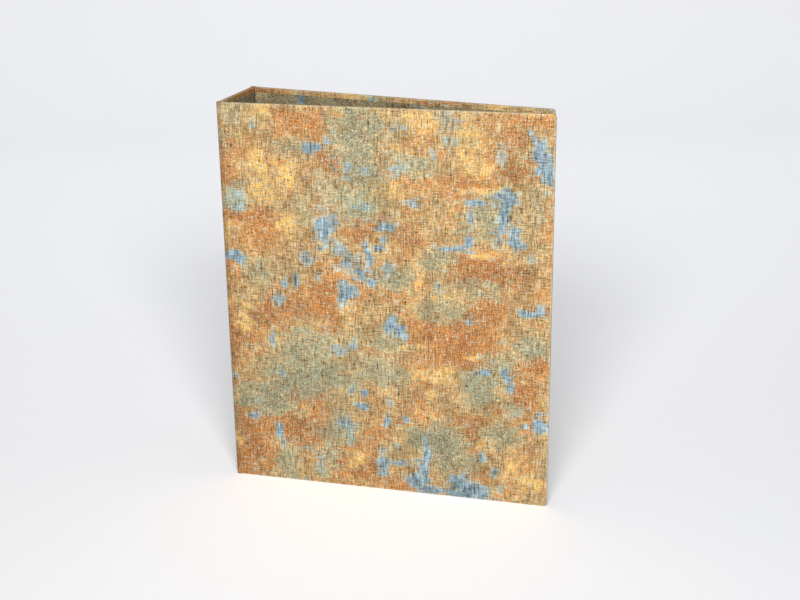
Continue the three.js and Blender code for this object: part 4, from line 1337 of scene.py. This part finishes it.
def makeStudio():
    far, radius, half = studio["sweepFar"], studio["sweepRadius"], studio["sweepHalfWidth"]
    rows = [(y, 0.0) for y in np.linspace(studio["sweepNear"], far, 12)]
    rows += arcPoints(far, radius, radius, -90, 0, 29)[1:]
    rows.append((far + radius, studio["sweepTop"]))
    mesh = bpy.data.meshes.new("paleSweep")
    points = [(x, y, z) for y, z in rows for x in (-half, half)]
    faces = [(2 * k, 2 * k + 1, 2 * k + 3, 2 * k + 2) for k in range(len(rows) - 1)]
    mesh.from_pydata(points, [], faces)
    mesh.polygons.foreach_set("use_smooth", [True] * len(mesh.polygons))
    sweep = bpy.data.objects.new("paleSweep", mesh)
    sweep.rotation_euler = (0, 0, math.radians(studio["sweepTurn"]))
    bpy.context.scene.collection.objects.link(sweep)
    material, tree, shader = startMaterial("paleSweep")
    place = tree.nodes.new("ShaderNodeTexCoord").outputs["Object"]
    grain = addNoise(tree, place, (0.6, 0.6), 2)
    colour = addMix(tree, grain, studio["floorGrain"], studio["floor"])
    split = tree.nodes.new("ShaderNodeSeparateXYZ")
    setInput(tree, split.inputs[0], place)
    distance = addStep(tree, split.outputs["Y"], *studio["floorRamp"])
    rays = tree.nodes.new("ShaderNodeLightPath")
    seen = addMath(tree, "MAXIMUM", rays.outputs["Is Camera Ray"], rays.outputs["Is Glossy Ray"])
    nearGain, farGain = studio["floorGain"]
    extra = addMath(tree, "MULTIPLY_ADD", distance, farGain - nearGain, nearGain - 1)
    gain = tree.nodes.new("ShaderNodeCombineColor")
    for socket, tint in zip(gain.inputs, studio["floorTint"]):
        paler = addMath(tree, "MULTIPLY_ADD", seen, extra, 1.0)
        setInput(tree, socket, addMath(tree, "MULTIPLY", paler, tint))
    setInput(tree, shader.inputs["Base Color"], addMix(tree, 1.0, colour, gain.outputs[0], "MULTIPLY"))
    shader.inputs["Roughness"].default_value = 0.9
    shader.inputs["Specular IOR Level"].default_value = 0.1
    mesh.materials.append(material)

    # Two soft lamps beside the camera throw the shadow to both sides
    e = math.radians(studio["lampElevation"])
    for name, azimuth in zip(("leftLamp", "rightLamp"), studio["lampAzimuths"]):
        lamp = bpy.data.lights.new(name, "AREA")
        lamp.shape = "DISK"
        lamp.size = studio["lampSize"]
        lamp.energy = studio["lampWatts"]
        lampObject = bpy.data.objects.new(name, lamp)
        a = math.radians(azimuth)
        back = Vector((math.sin(a) * math.cos(e), -math.cos(a) * math.cos(e), math.sin(e)))
        lampObject.location = Vector((0, 0, 0.12)) + back * studio["lampDistance"]
        lampObject.rotation_euler = (-back).to_track_quat("-Z", "Y").to_euler()
        bpy.context.scene.collection.objects.link(lampObject)

    world = bpy.data.worlds.new("surround")
    world.use_nodes = True
    sky = world.node_tree.nodes["Background"]
    sky.inputs["Color"].default_value = studio["surround"]
    sky.inputs["Strength"].default_value = studio["surroundStrength"]
    bpy.context.scene.world = world


makeStudio()

cameraPlace = {
    "azimuth": 26.491,  # degrees
    "elevation": 18.837,
    "roll": -0.782,
    "distance": 1.045753,
    "target": (0.019578, -0.008307, 0.167815),
    "lens": 59.583,
}


def makeCamera():
    look = cameraPlace
    a, e, r = (math.radians(look[key]) for key in ("azimuth", "elevation", "roll"))
    back = Vector((math.sin(a) * math.cos(e), -math.cos(a) * math.cos(e), math.sin(e)))
    right = Vector((0, 0, 1)).cross(back).normalized()
    up = back.cross(right)
    tiltedRight = right * math.cos(r) + up * math.sin(r)
    tiltedUp = up * math.cos(r) - right * math.sin(r)
    data = bpy.data.cameras.new("camera")
    data.sensor_fit = "HORIZONTAL"
    data.sensor_width = 36.0
    data.lens = look["lens"]
    data.clip_start = 0.01
    data.clip_end = 50.0
    camera = bpy.data.objects.new("camera", data)
    turn = Matrix((tiltedRight, tiltedUp, back)).transposed().to_4x4()
    turn.translation = Vector(look["target"]) + back * look["distance"]
    camera.matrix_world = turn
    bpy.context.scene.collection.objects.link(camera)
    bpy.context.scene.camera = camera


makeCamera()
bpy.context.scene.view_settings.view_transform = "Standard"
print("camera and studio made")
